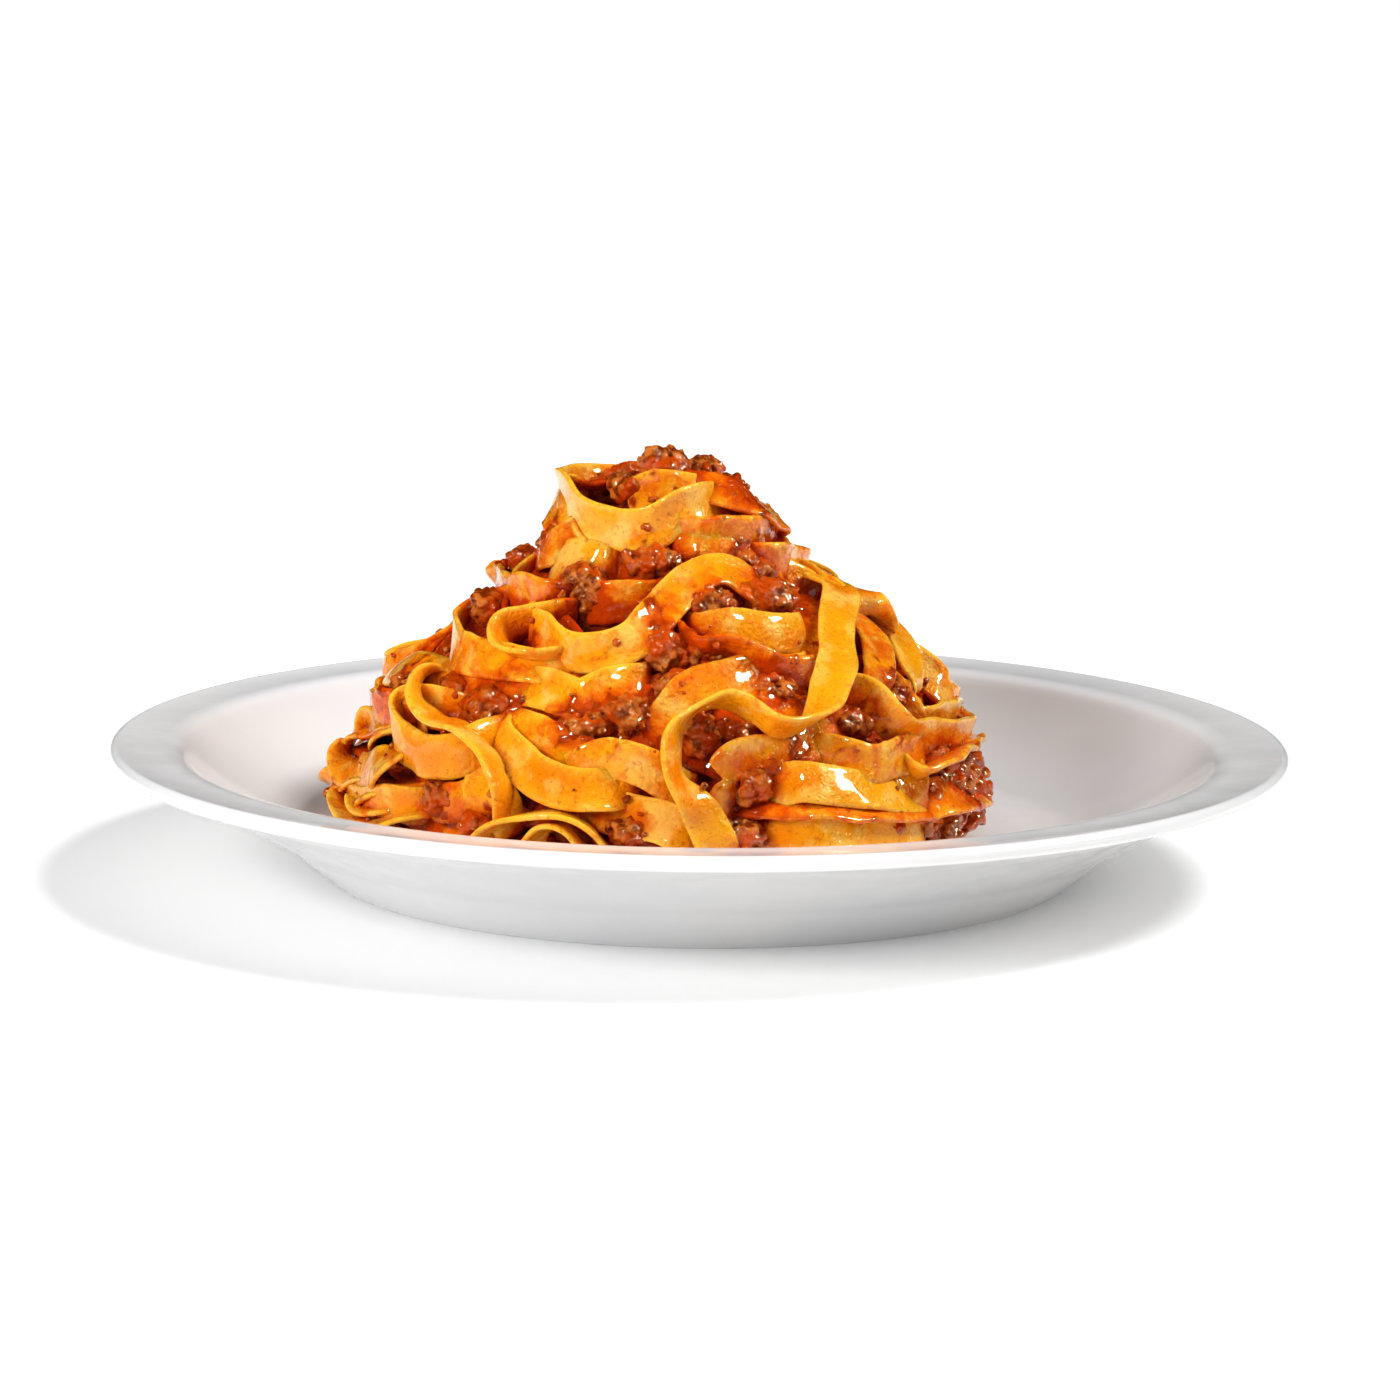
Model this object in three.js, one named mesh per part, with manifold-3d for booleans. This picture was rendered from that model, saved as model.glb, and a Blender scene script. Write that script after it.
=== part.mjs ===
// Bowl of tagliatelle bolognese: a wide white rimmed pasta dish that holds a tall heap of broad egg
// noodles with lumps of meat sauce on and between them.
// Millimetres, +Z up. The origin is the middle of the dish's foot ring, on the table, and the side
// of the heap that is served towards the guest faces -Y.

import * as THREE from 'three';
import { mergeVertices } from 'three/addons/utils/BufferGeometryUtils.js';
import Module from 'manifold-3d';

const wasm = await Module();
wasm.setup();

// ---- Driving dimensions ----------------------------------------------------------------------

const DISH_RADIUS = 120;
const DISH_SIDES = 48;
const FOOT_RADIUS = 77; // outer edge of the ring that stands on the table
const FOOT_WIDTH = 4;
const FOOT_TOP_RADIUS = 86.5; // where the foot's flared side meets the dish's underside
const FOOT_TOP = 8.5;
const RECESS = 2.5; // the underside inside the foot ring stands this far off the table
const WELL_FLOOR = 7.5;
const WELL_FLOOR_RADIUS = 68;
const WELL_CURVE_RADIUS = 90; // where the well's floor line and its wall line would meet
const FLANGE_INNER_RADIUS = 106;
const FLANGE_TOP = 26.2;
const FLANGE_UNDERSIDE = 19.5;
const LIP_RADIUS = 1.5;

const HEAP_X = -8; // the heap stands a little left of the dish's middle
const HEAP_OUTLINE = [ // [height, radius out to the middle of the outer noodles]
  [7, 63], [15, 64.5], [29, 61.5], [39, 54], [49, 44], [56, 37.5], [60, 31], [64, 26], [71, 22], [78, 18.5],
  [84, 14], [91, 2],
];
const CORE_DEPTH = 4; // the solid core lies this far inside the outline
const CORE_SIDES = 16;
const CORE_TOP = 79;

const NOODLE_WIDTH = 9.4;
const NOODLE_THICKNESS = 1.6;
const LONGEST_STEP = 16; // a noodle's straight pieces: at most this long
const SHARPEST_STEP = 41; // and bent by at most this many degrees from one to the next
const TUCK_DEPTH = 5; // a noodle's ends go this far inside the outline
const TUCK_REACH = 12; // degrees round the heap
const PATH_SAMPLES = 120; // places at which a noodle's bends are measured

const GAP = 0.49; // air between pieces that touch
const SHORTEST_EDGE = 0.03; // shorter edges, left where noodles cross, are closed up
const SEED = 4864;

// ---- Colours ---------------------------------------------------------------------------------

const porcelain = new THREE.MeshStandardMaterial({ color: '#f2f1f0', roughness: 0.18, metalness: 0 });
const saucedPasta = new THREE.MeshStandardMaterial({ color: '#e89a2c', roughness: 0.38, metalness: 0 });
const meatSauce = new THREE.MeshStandardMaterial({ color: '#a33a16', roughness: 0.35, metalness: 0 });

// ---- Helpers ---------------------------------------------------------------------------------

function seededDraw(seed) {
  let state = seed;
  return () => {
    state = (state * 16807) % 2147483647;
    return state / 2147483647;
  };
}

function toSolid(geometry) {
  const bare = geometry.clone();
  bare.deleteAttribute('normal');
  bare.deleteAttribute('uv');
  const merged = mergeVertices(bare, 1e-5);
  const vertProperties = new Float32Array(merged.attributes.position.array);
  const triVerts = new Uint32Array(merged.index.array);
  return new wasm.Manifold(new wasm.Mesh({ numProp: 3, vertProperties, triVerts }));
}

function toGeometry(solid) {
  const mesh = solid.getMesh();
  const geometry = new THREE.BufferGeometry();
  geometry.setAttribute('position', new THREE.BufferAttribute(new Float32Array(mesh.vertProperties), 3));
  geometry.setIndex(new THREE.BufferAttribute(new Uint32Array(mesh.triVerts), 1));
  return geometry;
}

function joined(solids) {
  return solids.reduce((whole, solid) => whole.add(solid));
}

// Follows a chain of owners to its end.
function ownerOf(owner, index) {
  let last = index;
  while (owner[last] !== last) last = owner[last];
  return last;
}

// The triangles of a mesh once the ends of its very short edges are made one.
function weldedCorners(points, corners) {
  const owner = points.map((_, index) => index);
  for (let i = 0; i < corners.length; i += 1) {
    const from = ownerOf(owner, corners[i]);
    const to = ownerOf(owner, corners[i % 3 === 2 ? i - 2 : i + 1]);
    if (points[from].distanceTo(points[to]) < SHORTEST_EDGE) owner[Math.max(from, to)] = Math.min(from, to);
  }
  const triangles = new Map();
  for (let i = 0; i < corners.length; i += 3) {
    const triangle = [0, 1, 2].map((k) => ownerOf(owner, corners[i + k]));
    const key = [...triangle].sort((one, other) => one - other).join();
    if (new Set(triangle).size < 3) continue;
    if (triangles.has(key)) triangles.delete(key);
    else triangles.set(key, triangle);
  }
  return [...triangles.values()].flat();
}

// The largest closed body of a solid: loose scraps go, and hollows sealed inside it are filled.
function largestBody(solid) {
  const mesh = solid.getMesh();
  const count = mesh.vertProperties.length / 3;
  const pointAt = (_, i) => new THREE.Vector3().fromArray(mesh.vertProperties, 3 * i);
  const points = Array.from({ length: count }, pointAt);
  const corners = weldedCorners(points, [...mesh.triVerts]);
  const owner = points.map((_, index) => index);
  for (let i = 0; i < corners.length; i += 1) {
    owner[ownerOf(owner, corners[i])] = ownerOf(owner, corners[3 * Math.floor(i / 3)]);
  }
  const volumes = new Map();
  const bodyOf = (i) => ownerOf(owner, corners[3 * Math.floor(i / 3)]);
  for (let i = 0; i < corners.length; i += 3) {
    const [a, b, c] = [points[corners[i]], points[corners[i + 1]], points[corners[i + 2]]];
    volumes.set(bodyOf(i), (volumes.get(bodyOf(i)) ?? 0) + a.dot(b.clone().cross(c)));
  }
  const largest = [...volumes].sort((one, other) => other[1] - one[1])[0][0];
  const kept = corners.filter((_, i) => bodyOf(i) === largest);
  const vertProperties = new Float32Array(points.flatMap((point) => point.toArray()));
  return new wasm.Manifold(new wasm.Mesh({ numProp: 3, vertProperties, triVerts: new Uint32Array(kept) }));
}

function lathe(profile, sides) {
  const points = profile.map(([radius, height]) => new THREE.Vector2(radius, height));
  return new THREE.LatheGeometry(points, sides).rotateX(Math.PI / 2);
}

// ---- The dish --------------------------------------------------------------------------------

function wellProfile(lift) {
  const wall = new THREE.QuadraticBezierCurve(
    new THREE.Vector2(FLANGE_INNER_RADIUS, FLANGE_TOP + lift),
    new THREE.Vector2(WELL_CURVE_RADIUS, WELL_FLOOR + lift),
    new THREE.Vector2(WELL_FLOOR_RADIUS, WELL_FLOOR + lift),
  );
  return [...wall.getPoints(5).map((point) => [point.x, point.y]), [0, WELL_FLOOR + lift]];
}

function dishGeometry() {
  const lipRadius = DISH_RADIUS - LIP_RADIUS;
  const lipHeight = FLANGE_TOP - 0.6 * LIP_RADIUS;
  const lip = [-75, -10, 45, 110].map((degrees) => {
    const angle = THREE.MathUtils.degToRad(degrees);
    return [lipRadius + LIP_RADIUS * Math.cos(angle), lipHeight + LIP_RADIUS * Math.sin(angle)];
  });
  const profile = [
    [0, RECESS],
    [FOOT_RADIUS - FOOT_WIDTH - 1.5, RECESS],
    [FOOT_RADIUS - FOOT_WIDTH, 0],
    [FOOT_RADIUS, 0],
    [FOOT_TOP_RADIUS, FOOT_TOP],
    [FLANGE_INNER_RADIUS, FLANGE_UNDERSIDE],
    ...lip,
    ...wellProfile(0),
  ];
  return lathe(profile, DISH_SIDES);
}

// Everything below the dish's upper surface, with the gap that the food keeps to it.
function dishKeepOut() {
  const profile = [[0, -10], [DISH_RADIUS + 20, -10], [DISH_RADIUS + 20, FLANGE_TOP], ...wellProfile(GAP)];
  return toSolid(lathe(profile, DISH_SIDES));
}

// ---- Places on the heap ----------------------------------------------------------------------

function outlineRadius(height) {
  const last = HEAP_OUTLINE.length - 1;
  if (height >= HEAP_OUTLINE[last][0]) return HEAP_OUTLINE[last][1];
  const above = Math.max(1, HEAP_OUTLINE.findIndex(([level]) => level > height));
  const [lowLevel, lowRadius] = HEAP_OUTLINE[above - 1];
  const [highLevel, highRadius] = HEAP_OUTLINE[above];
  const share = Math.max(0, (height - lowLevel) / (highLevel - lowLevel));
  return THREE.MathUtils.lerp(lowRadius, highRadius, share);
}

// azimuth: degrees round the heap, 0 towards -Y and 90 towards +X. standoff: distance outside the outline.
function onHeap(azimuth, height, standoff) {
  const angle = THREE.MathUtils.degToRad(azimuth);
  const radius = outlineRadius(height) + standoff;
  return new THREE.Vector3(HEAP_X + radius * Math.sin(angle), -radius * Math.cos(angle), height);
}

// ---- Noodles ---------------------------------------------------------------------------------

// name: [standoff, [[turn, lean], ...], [[azimuth, height, own standoff], ...]]
// A noodle's broad side stands upright and faces outwards. turn tips its width sideways round the
// heap, lean tips its upper edge outwards, both in degrees and spread evenly along the noodle.
const NOODLES = {
  crown_loop: [1, [[0, 0], [0, 0], [0, 5], [0, 5], [0, 70]],
    [[-165, 76, -2], [-120, 77], [-90, 76, 3], [-64, 78, 3], [-46, 76, 3], [-29, 73, 3], [-16, 72, 3],
      [-4, 73, 3], [7, 76, 2], [20, 79], [42, 80, -2]]],
  crown_fold: [-3, [[0, -10], [0, -20], [0, -40]],
    [[-23, 76, -5], [-8, 79, -4], [12, 79, -4], [37, 79], [67, 78, -2], [88, 75, 0]]],
  crown_face: [2, [[0, -30], [0, -35], [0, -20]],
    [[24, 75, 0], [36, 76], [50, 76, 3], [70, 74, 3], [88, 71]]],
  crown_left: [1, [[80, 0], [90, 0]], [[-94, 78], [-75, 74], [-56, 70], [-45, 68, -1]]],
  curl_left: [0, [[0, 0], [10, 0]], [[-115, 57, -2], [-63, 58], [-55, 59, 1], [-44, 58, -1]]],
  under_crown: [0, [[0, -15]], [[11, 67, -1], [22, 69], [37, 69, 1], [62, 69]]],
  front_swoop: [5, [[0, -5], [0, -5], [0, -5], [-30, -20], [-40, -35], [-10, -45], [20, -30]],
    [[-42, 54, -1], [-31, 53, 2], [-23, 51, 4], [-17, 51], [-11, 52], [-6, 54], [-2, 57], [3, 60],
      [10, 63], [19, 65], [29, 64, 4], [38, 60, 1]]],
  curl_right_top: [1, [[0, 0]], [[48, 65, -1], [55, 65], [71, 64], [100, 60, -1]]],
  nest_outer: [3, [[0, -5], [0, 0], [0, -35], [0, -55]],
    [[-62, 56, -4], [-74, 53, -2], [-72, 51, 1], [-61, 49], [-47, 48, 4], [-36, 48, 4], [-27, 48],
      [-20, 48, 0]]],
  nest_under: [0, [[0, -30], [0, -35]], [[-59, 43, -1], [-44, 42], [-34, 41, 1], [-28, 41, -1]]],
  mid_bow: [2, [[0, -35]], [[-36, 44, -1], [-25, 44], [-17, 43, 3], [-10, 45], [-4, 45, -1]]],
  diamond: [2, [[45, -15]], [[-32, 37, -1], [-23, 36], [-18, 34], [-14, 32, 0]]],
  slope_band: [3, [[25, -10], [10, -20], [0, -50]],
    [[-33, 35, 0], [-26, 32, 2], [-19, 29, 4], [-13, 28, 4], [-7, 28, 2]]],
  cup_front: [4, [[0, 0], [10, -10]], [[-15, 30, 0], [-10, 33, 3], [-5, 33, 5], [0, 31], [5, 27, 0]]],
  loop_front_left: [6, [[0, 80], [0, 85], [0, 80], [30, 60], [50, 30], [60, 0]],
    [[-54, 44, -2], [-58, 44, 2], [-56, 43], [-49, 40, 8], [-42, 38, 9], [-35, 37, 9], [-30, 34, 8],
      [-27, 31, 7], [-24, 26, 5], [-22, 21, 1]]],
  left_return: [4, [[0, 0], [0, 5]],
    [[-84, 27, 0], [-57, 28, 2], [-48, 30], [-39, 32, 6], [-34, 32, 6], [-30, 30, 1]]],
  left_loop: [3, [[0, -10], [0, -10], [0, 10], [0, 50]],
    [[-64, 31, -3], [-78, 28, -1], [-87, 24], [-87, 21, 2], [-62, 25, 4], [-52, 29, 6], [-50, 32, 5]]],
  low_left_loop: [4, [[0, 0], [0, 5], [0, 20]],
    [[-51, 23, -3], [-63, 21, -2], [-69, 19, 1], [-65, 17, 3], [-54, 18, 5], [-45, 21, 6], [-45, 22, 0]]],
  base_curl_left: [5, [[0, 75], [0, 85], [0, 75]],
    [[-32, 15, 0], [-28, 19, 4], [-23, 22, 6], [-16, 23, 6], [-11, 21], [-8, 17, 1]]],
  wavy_band: [2, [[0, 60], [0, 50], [0, 10], [0, -20]],
    [[7, 53, -1], [11, 51, 3], [16, 52, 5], [22, 50, 4], [28, 47], [39, 46, 1], [54, 46, -1]]],
  rising_band: [2, [[-45, -10], [-30, -20], [0, -20]],
    [[-1, 36, -1], [3, 41], [8, 45, 3], [15, 46, 3], [24, 47], [37, 46, 0]]],
  s_ribbon: [9, [[90, 0], [88, 0], [88, 0], [80, 20], [40, 45], [10, 55], [0, 62], [-10, 68], [-60, 62],
    [-90, 50], [-100, 15], [-105, 0]],
    [[82, 62, 1], [70, 59, 5], [50, 55, 7], [43, 50, 8], [37, 46], [31, 42, 10], [25, 40, 11],
      [20, 40, 12], [17, 42, 12], [13, 44, 12], [10, 44, 12], [6, 43, 12], [3, 40, 11], [2, 36, 11],
      [3, 31], [6, 27, 8], [8, 23, 6], [10, 17, 3]]],
  loop_under_s: [3, [[20, 5], [0, 0], [0, -20], [0, -45]],
    [[14, 24, -1], [11, 29], [13, 33, 5], [18, 34, 5], [24, 34, 4], [31, 35, 2], [41, 37, -1]]],
  fold_right: [4, [[0, -5]], [[30, 33, 0], [33, 33], [39, 31, 6], [48, 31], [59, 30, 0]]],
  tongue_right: [4, [[0, -10], [8, -25], [0, -50]],
    [[20, 27, 0], [24, 29], [30, 28, 5], [38, 26, 5], [52, 22, 1]]],
  base_band_right: [4, [[0, -15]], [[19, 17, 0], [27, 19], [37, 19, 5], [51, 17, 2]]],
  drop_right: [3, [[88, 0]], [[70, 55, 1], [64, 50, 4], [54, 44, 4], [52, 40, -1]]],
  ruffle_right: [2, [[75, 0]], [[92, 55, 1], [86, 50, 4], [76, 44, 3], [72, 39, -1]]],
  back_bow_right: [1, [[30, -20], [30, -10], [0, 20]],
    [[80, 47, -1], [86, 43, 2], [86, 38, 3], [92, 33, 2], [104, 31, -1]]],
  wave_right: [5, [[0, 45], [20, 45], [45, 40], [25, 10], [0, 0]],
    [[41, 42, -1], [44, 43, 3], [46, 42, 6], [47, 38, 7], [50, 35, 6], [58, 33], [86, 29, 2],
      [100, 28, -1]]],
};

// The far side repeats noodles of the near side, seen as in a mirror and carried round the heap:
// [name, azimuth of its mirror image's azimuth 0, millimetres higher]
const FAR_COPIES = [
  ['tongue_right', 160, -4], ['base_band_right', 195, 0], ['slope_band', 175, -6], ['wave_right', 210, 0],
  ['rising_band', 200, -2], ['nest_outer', 190, -14], ['mid_bow', 195, -4], ['front_swoop', 165, -3],
  ['under_crown', 250, -4], ['curl_right_top', 208, -6], ['crown_face', 250, -3], ['curl_left', 84, -20],
  ['base_band_right', 262, 1],
];

function tuckedPoint(end, next) {
  const reach = THREE.MathUtils.clamp(end[0] - next[0], -TUCK_REACH, TUCK_REACH);
  return [end[0] + 0.5 * reach, end[1] + 0.3 * (end[1] - next[1]), -TUCK_DEPTH];
}

function noodleSolid([standoff, cross, route]) {
  const last = route.length - 1;
  const places = [tuckedPoint(route[0], route[1]), ...route, tuckedPoint(route[last], route[last - 1])];
  const points = places.map(([azimuth, height, own]) => onHeap(azimuth, height, own ?? standoff));
  const path = new THREE.CatmullRomCurve3(points, false, 'centripetal');
  const stations = noodleStations(path, cross);
  const strip = new THREE.BoxGeometry(1, NOODLE_WIDTH, NOODLE_THICKNESS, stations.length - 1, 1, 1);
  const corner = strip.attributes.position;
  for (let i = 0; i < corner.count; i += 1) {
    const station = Math.round((corner.getX(i) + 0.5) * (stations.length - 1));
    const { centre, across, face } = noodleFrame(path, cross, stations[station]);
    centre.addScaledVector(across, corner.getY(i)).addScaledVector(face, corner.getZ(i));
    corner.setXYZ(i, centre.x, centre.y, centre.z);
  }
  return toSolid(strip);
}

// Places along the noodle, 0 to 1: wide apart where it runs straight, close together where it bends.
function noodleStations(path, cross) {
  const frameAt = (_, i) => noodleFrame(path, cross, i / PATH_SAMPLES);
  const frames = Array.from({ length: PATH_SAMPLES + 1 }, frameAt);
  const spent = [0];
  for (let i = 1; i <= PATH_SAMPLES; i += 1) {
    const length = frames[i].centre.distanceTo(frames[i - 1].centre);
    const twist = THREE.MathUtils.radToDeg(frames[i].face.angleTo(frames[i - 1].face));
    const bend = THREE.MathUtils.radToDeg(frames[i].tangent.angleTo(frames[i - 1].tangent));
    spent.push(spent[i - 1] + length / LONGEST_STEP + (twist + bend) / 2 / SHARPEST_STEP);
  }
  const steps = Math.ceil(spent[PATH_SAMPLES]);
  const stations = [0];
  for (let step = 1; step < steps; step += 1) {
    const wanted = (spent[PATH_SAMPLES] * step) / steps;
    stations.push(spent.findIndex((cost) => cost >= wanted) / PATH_SAMPLES);
  }
  return [...stations, 1];
}

function noodleFrame(path, cross, along) {
  const centre = path.getPoint(along);
  const tangent = path.getTangent(along);
  const outwards = new THREE.Vector3(centre.x - HEAP_X, centre.y, 0).normalize();
  const sideways = new THREE.Vector3(-outwards.y, outwards.x, 0);
  const key = along * (cross.length - 1);
  const before = Math.min(Math.floor(key), cross.length - 1);
  const after = Math.min(before + 1, cross.length - 1);
  const blend = (index) => THREE.MathUtils.lerp(cross[before][index], cross[after][index], key - before);
  const turn = THREE.MathUtils.degToRad(blend(0));
  const lean = THREE.MathUtils.degToRad(blend(1));
  const across = new THREE.Vector3(0, 0, Math.cos(turn)).addScaledVector(sideways, Math.sin(turn));
  across.multiplyScalar(Math.cos(lean)).addScaledVector(outwards, Math.sin(lean));
  across.addScaledVector(tangent, -across.dot(tangent)).normalize();
  return { centre, across, tangent, face: tangent.clone().cross(across) };
}

function mirrored([standoff, cross, route], azimuth, rise) {
  const turned = cross.map(([turn, lean]) => [-turn, lean]);
  const carried = route.map(([own, height, ...rest]) => [azimuth - own, height + rise, ...rest]);
  return [standoff, turned, carried];
}

function farNoodles() {
  return FAR_COPIES.map(([name, azimuth, rise]) => mirrored(NOODLES[name], azimuth, rise));
}

function noodleSolids() {
  return [...Object.values(NOODLES), ...farNoodles()].map(noodleSolid);
}

// ---- Lumps of meat sauce ---------------------------------------------------------------------

// [azimuth, height, how far its front stands outside the outline, width, height of the lump]
const LUMPS = [
  [2, 83, -3, 12, 9], [-69, 67, 2, 7, 9], [-69, 55, 3, 8, 8], [-31, 60, 2, 13, 12], [-4, 66, 4, 13, 7],
  [-68, 39, 4, 12, 8], [-39, 39, 3, 11, 10], [-6, 40, 4, 10, 9], [1, 51, 4, 9, 10], [18, 58, 3, 10, 9],
  [41, 59, 5, 13, 9], [27, 44, 4, 11, 6], [43, 37, 4, 12, 7], [61, 39, 3, 9, 9], [62, 27, 4, 10, 8],
  [65, 17, 4, 13, 8], [-40, 23, 6, 9, 9], [8, 37, 5, 8, 9],
];
const FAR_LUMPS = 8; // spread over the far side
const FAR_LUMP_STEP = 3; // each one stands this many levels above the one before, in turn
const FAR_LUMP_FRONT = 3;
const FAR_LUMP_AZIMUTHS = [105, 255];
const FAR_LUMP_HEIGHTS = [20, 74];
const LEAST_LUMP_DEPTH = 7;
const LUMP_SUNK = 0.8; // a lump reaches this far into the core's outline
const BUMP = 0.16; // how far a lump's crags stand in and out, as a share of its radius

// A lump is a craggy ball, pulled to its width and height. grow leaves room for it in the heap.
function lumpSolid([azimuth, height, front, width, tall], index, grow) {
  const draw = seededDraw(SEED + 97 * index);
  const ball = new THREE.DodecahedronGeometry(1, 0);
  ball.deleteAttribute('normal');
  ball.deleteAttribute('uv');
  const crag = mergeVertices(ball, 1e-4);
  const corner = crag.attributes.position;
  const depth = Math.max(LEAST_LUMP_DEPTH, front + CORE_DEPTH + LUMP_SUNK);
  const centre = onHeap(azimuth, height, front - depth / 2);
  const facing = new THREE.Matrix4().makeRotationZ(THREE.MathUtils.degToRad(azimuth));
  for (let i = 0; i < corner.count; i += 1) {
    const direction = new THREE.Vector3().fromBufferAttribute(corner, i);
    const reach = 1 + BUMP * (2 * draw() - 1);
    const point = new THREE.Vector3(width, depth, tall).multiplyScalar(reach / 2).addScalar(grow);
    point.multiply(direction).applyMatrix4(facing).add(centre);
    corner.setXYZ(i, point.x, point.y, point.z);
  }
  return toSolid(crag);
}

function allLumps() {
  const draw = seededDraw(SEED);
  const far = Array.from({ length: FAR_LUMPS }, (_, i) => {
    const round = i / (FAR_LUMPS - 1);
    const up = ((i * FAR_LUMP_STEP) % FAR_LUMPS) / (FAR_LUMPS - 1);
    const azimuth = THREE.MathUtils.lerp(...FAR_LUMP_AZIMUTHS, round) + 6 * draw();
    const height = THREE.MathUtils.lerp(...FAR_LUMP_HEIGHTS, up) + 4 * draw();
    return [azimuth, height, FAR_LUMP_FRONT, 9 + 3 * draw(), 8 + 2 * draw()];
  });
  return [...LUMPS, ...far];
}

// ---- The heap --------------------------------------------------------------------------------

function heapSolid(lumps, keepOut) {
  const bottom = WELL_FLOOR + GAP;
  const levels = HEAP_OUTLINE.filter(([level]) => level > bottom && level < CORE_TOP);
  const profile = [
    [0, bottom],
    [outlineRadius(bottom) - CORE_DEPTH, bottom],
    ...levels.map(([level, radius]) => [radius - CORE_DEPTH, level]),
    [0, CORE_TOP],
  ];
  const core = toSolid(lathe(profile, CORE_SIDES).translate(HEAP_X, 0, 0));
  let heap = joined([core, ...noodleSolids()]).subtract(keepOut);
  lumps.forEach((lump, index) => {
    heap = heap.subtract(lumpSolid(lump, index, GAP));
  });
  return largestBody(heap);
}

// ---- The object ------------------------------------------------------------------------------

const bowl = new THREE.Group();

function addPiece(name, geometry, material) {
  const mesh = new THREE.Mesh(geometry, material);
  mesh.name = name;
  bowl.add(mesh);
}

const keepOut = dishKeepOut();
const lumps = allLumps();
addPiece('dish', dishGeometry(), porcelain);
addPiece('tagliatelle_heap', toGeometry(heapSolid(lumps, keepOut)), saucedPasta);
lumps.forEach((lump, index) => {
  const solid = lumpSolid(lump, index, 0).subtract(keepOut);
  addPiece(`meat_lump_${String(index + 1).padStart(2, '0')}`, toGeometry(solid), meatSauce);
});

export default bowl;
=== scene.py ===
"""A wide white rimmed pasta dish with a tall heap of tagliatelle bolognese.

Shapes are worked out in millimetres and turned into metres as each piece is finished.
"""
import math
import random

import bmesh
import bpy
import numpy as np
from mathutils import Matrix, Vector, noise


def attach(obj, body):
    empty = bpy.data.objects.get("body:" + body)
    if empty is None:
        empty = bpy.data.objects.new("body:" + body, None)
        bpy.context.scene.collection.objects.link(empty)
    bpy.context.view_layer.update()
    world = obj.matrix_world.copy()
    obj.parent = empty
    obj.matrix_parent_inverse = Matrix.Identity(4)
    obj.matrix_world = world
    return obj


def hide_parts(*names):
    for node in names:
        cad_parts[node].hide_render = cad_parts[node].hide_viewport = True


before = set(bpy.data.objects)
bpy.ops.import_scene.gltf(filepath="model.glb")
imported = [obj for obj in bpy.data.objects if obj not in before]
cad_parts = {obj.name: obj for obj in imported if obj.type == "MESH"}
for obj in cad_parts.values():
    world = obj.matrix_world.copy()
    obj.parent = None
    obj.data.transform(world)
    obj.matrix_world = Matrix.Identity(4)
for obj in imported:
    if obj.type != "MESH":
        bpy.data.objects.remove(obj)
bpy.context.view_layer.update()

scene = bpy.context.scene
MM = 0.001
SEED = 4864

# ---- The photograph's view -------------------------------------------------------------------

VIEW_ELEVATION = math.radians(9.87)
VIEW_DISTANCE = 0.85  # metres, from the place that the camera looks at
VIEW_AIM = Vector((0, 0, 0.0342))
VIEW_ROLL = math.radians(0.6)
VIEW_LENS = 106.75
FLOOR_RADIUS = 60  # metres, so that the floor fills the picture in every view

# ---- The dish (millimetres) ------------------------------------------------------------------

DISH_RADIUS = 120
DISH_STEPS = 144
FOOT_RADIUS = 77  # outer edge of the ring that stands on the table
FOOT_WIDTH = 4
FOOT_EDGE = 0.9  # radius of the ring's rounded edges
FOOT_TOP_RADIUS = 86.5  # where the foot's flared side meets the dish's underside
FOOT_TOP = 8.5
RECESS = 2.5  # the underside inside the foot ring stands this far off the table
WELL_FLOOR = 7.5
WELL_FLOOR_RADIUS = 68
WELL_CURVE_RADIUS = 90  # where the well's floor line and its wall line would meet
FLANGE_INNER_RADIUS = 106
FLANGE_TOP = 26.2
FLANGE_UNDERSIDE = 19.5
LIP_RADIUS = 1.5

# ---- The heap (millimetres and degrees) ------------------------------------------------------

HEAP_X = -8  # the heap stands a little left of the dish's middle
HEAP_OUTLINE = [  # (height, radius out to the middle of the outer noodles)
    (7, 63), (15, 64.5), (29, 61.5), (39, 54), (49, 44), (56, 37.5), (60, 31), (64, 26), (71, 22), (78, 18.5),
    (84, 14), (91, 2),
]
CORE_DEPTH = 9  # the sauced core, dark as painted shade for the gaps, lies this far inside the outline
CORE_TOP = 74
CORE_STEPS = 140
PEBBLE_SIZE, PEBBLE_HEIGHT = 3.4, 1.6  # the core's pebbly skin, and the slow swell under it
SWELL_SIZE, SWELL_HEIGHT = 9, 1.2

NOODLE_WIDTH = 9.4
NOODLE_THICKNESS = 1.2
NOODLE_STATION = 1.5  # length of one face along a noodle
NOODLE_FACES = 6  # across its width
TUCK_DEPTH = 6  # a noodle's ends go this far inside the outline
TUCK_REACH = 12  # and at most half of this many degrees round the heap

# How a noodle departs from a flat band: each draws its own values from these ranges
WIDTH_SHARES = (0.84, 1.0)
CUP_DEPTHS = (-0.8, 0.8)
SWAY_DEPTHS, SWAY_LENGTHS = (0.2, 0.7), (24, 40)
RUFFLE_DEPTHS, RUFFLE_LENGTHS = (0.25, 0.85), (11, 22)
PHASES = (0, 6.3)

# Short noodles in the depths, in rings one above the other
UNDER_LEVELS = range(13, 72, 6)
UNDER_HIGHEST = 69
UNDER_PITCH = 30  # round the heap, from one to the next
UNDER_LENGTHS = (26, 50)
UNDER_STANDOFFS = (-6.5, -2.5)
UNDER_LEANS = (-65, -5)
UNDER_RISE = 20  # from one end to the other, at most
UNDER_TWIST = 25
UNDER_WAVER = 2
UNDER_SEEDS = (11, 12)  # for the near and the far side
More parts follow.
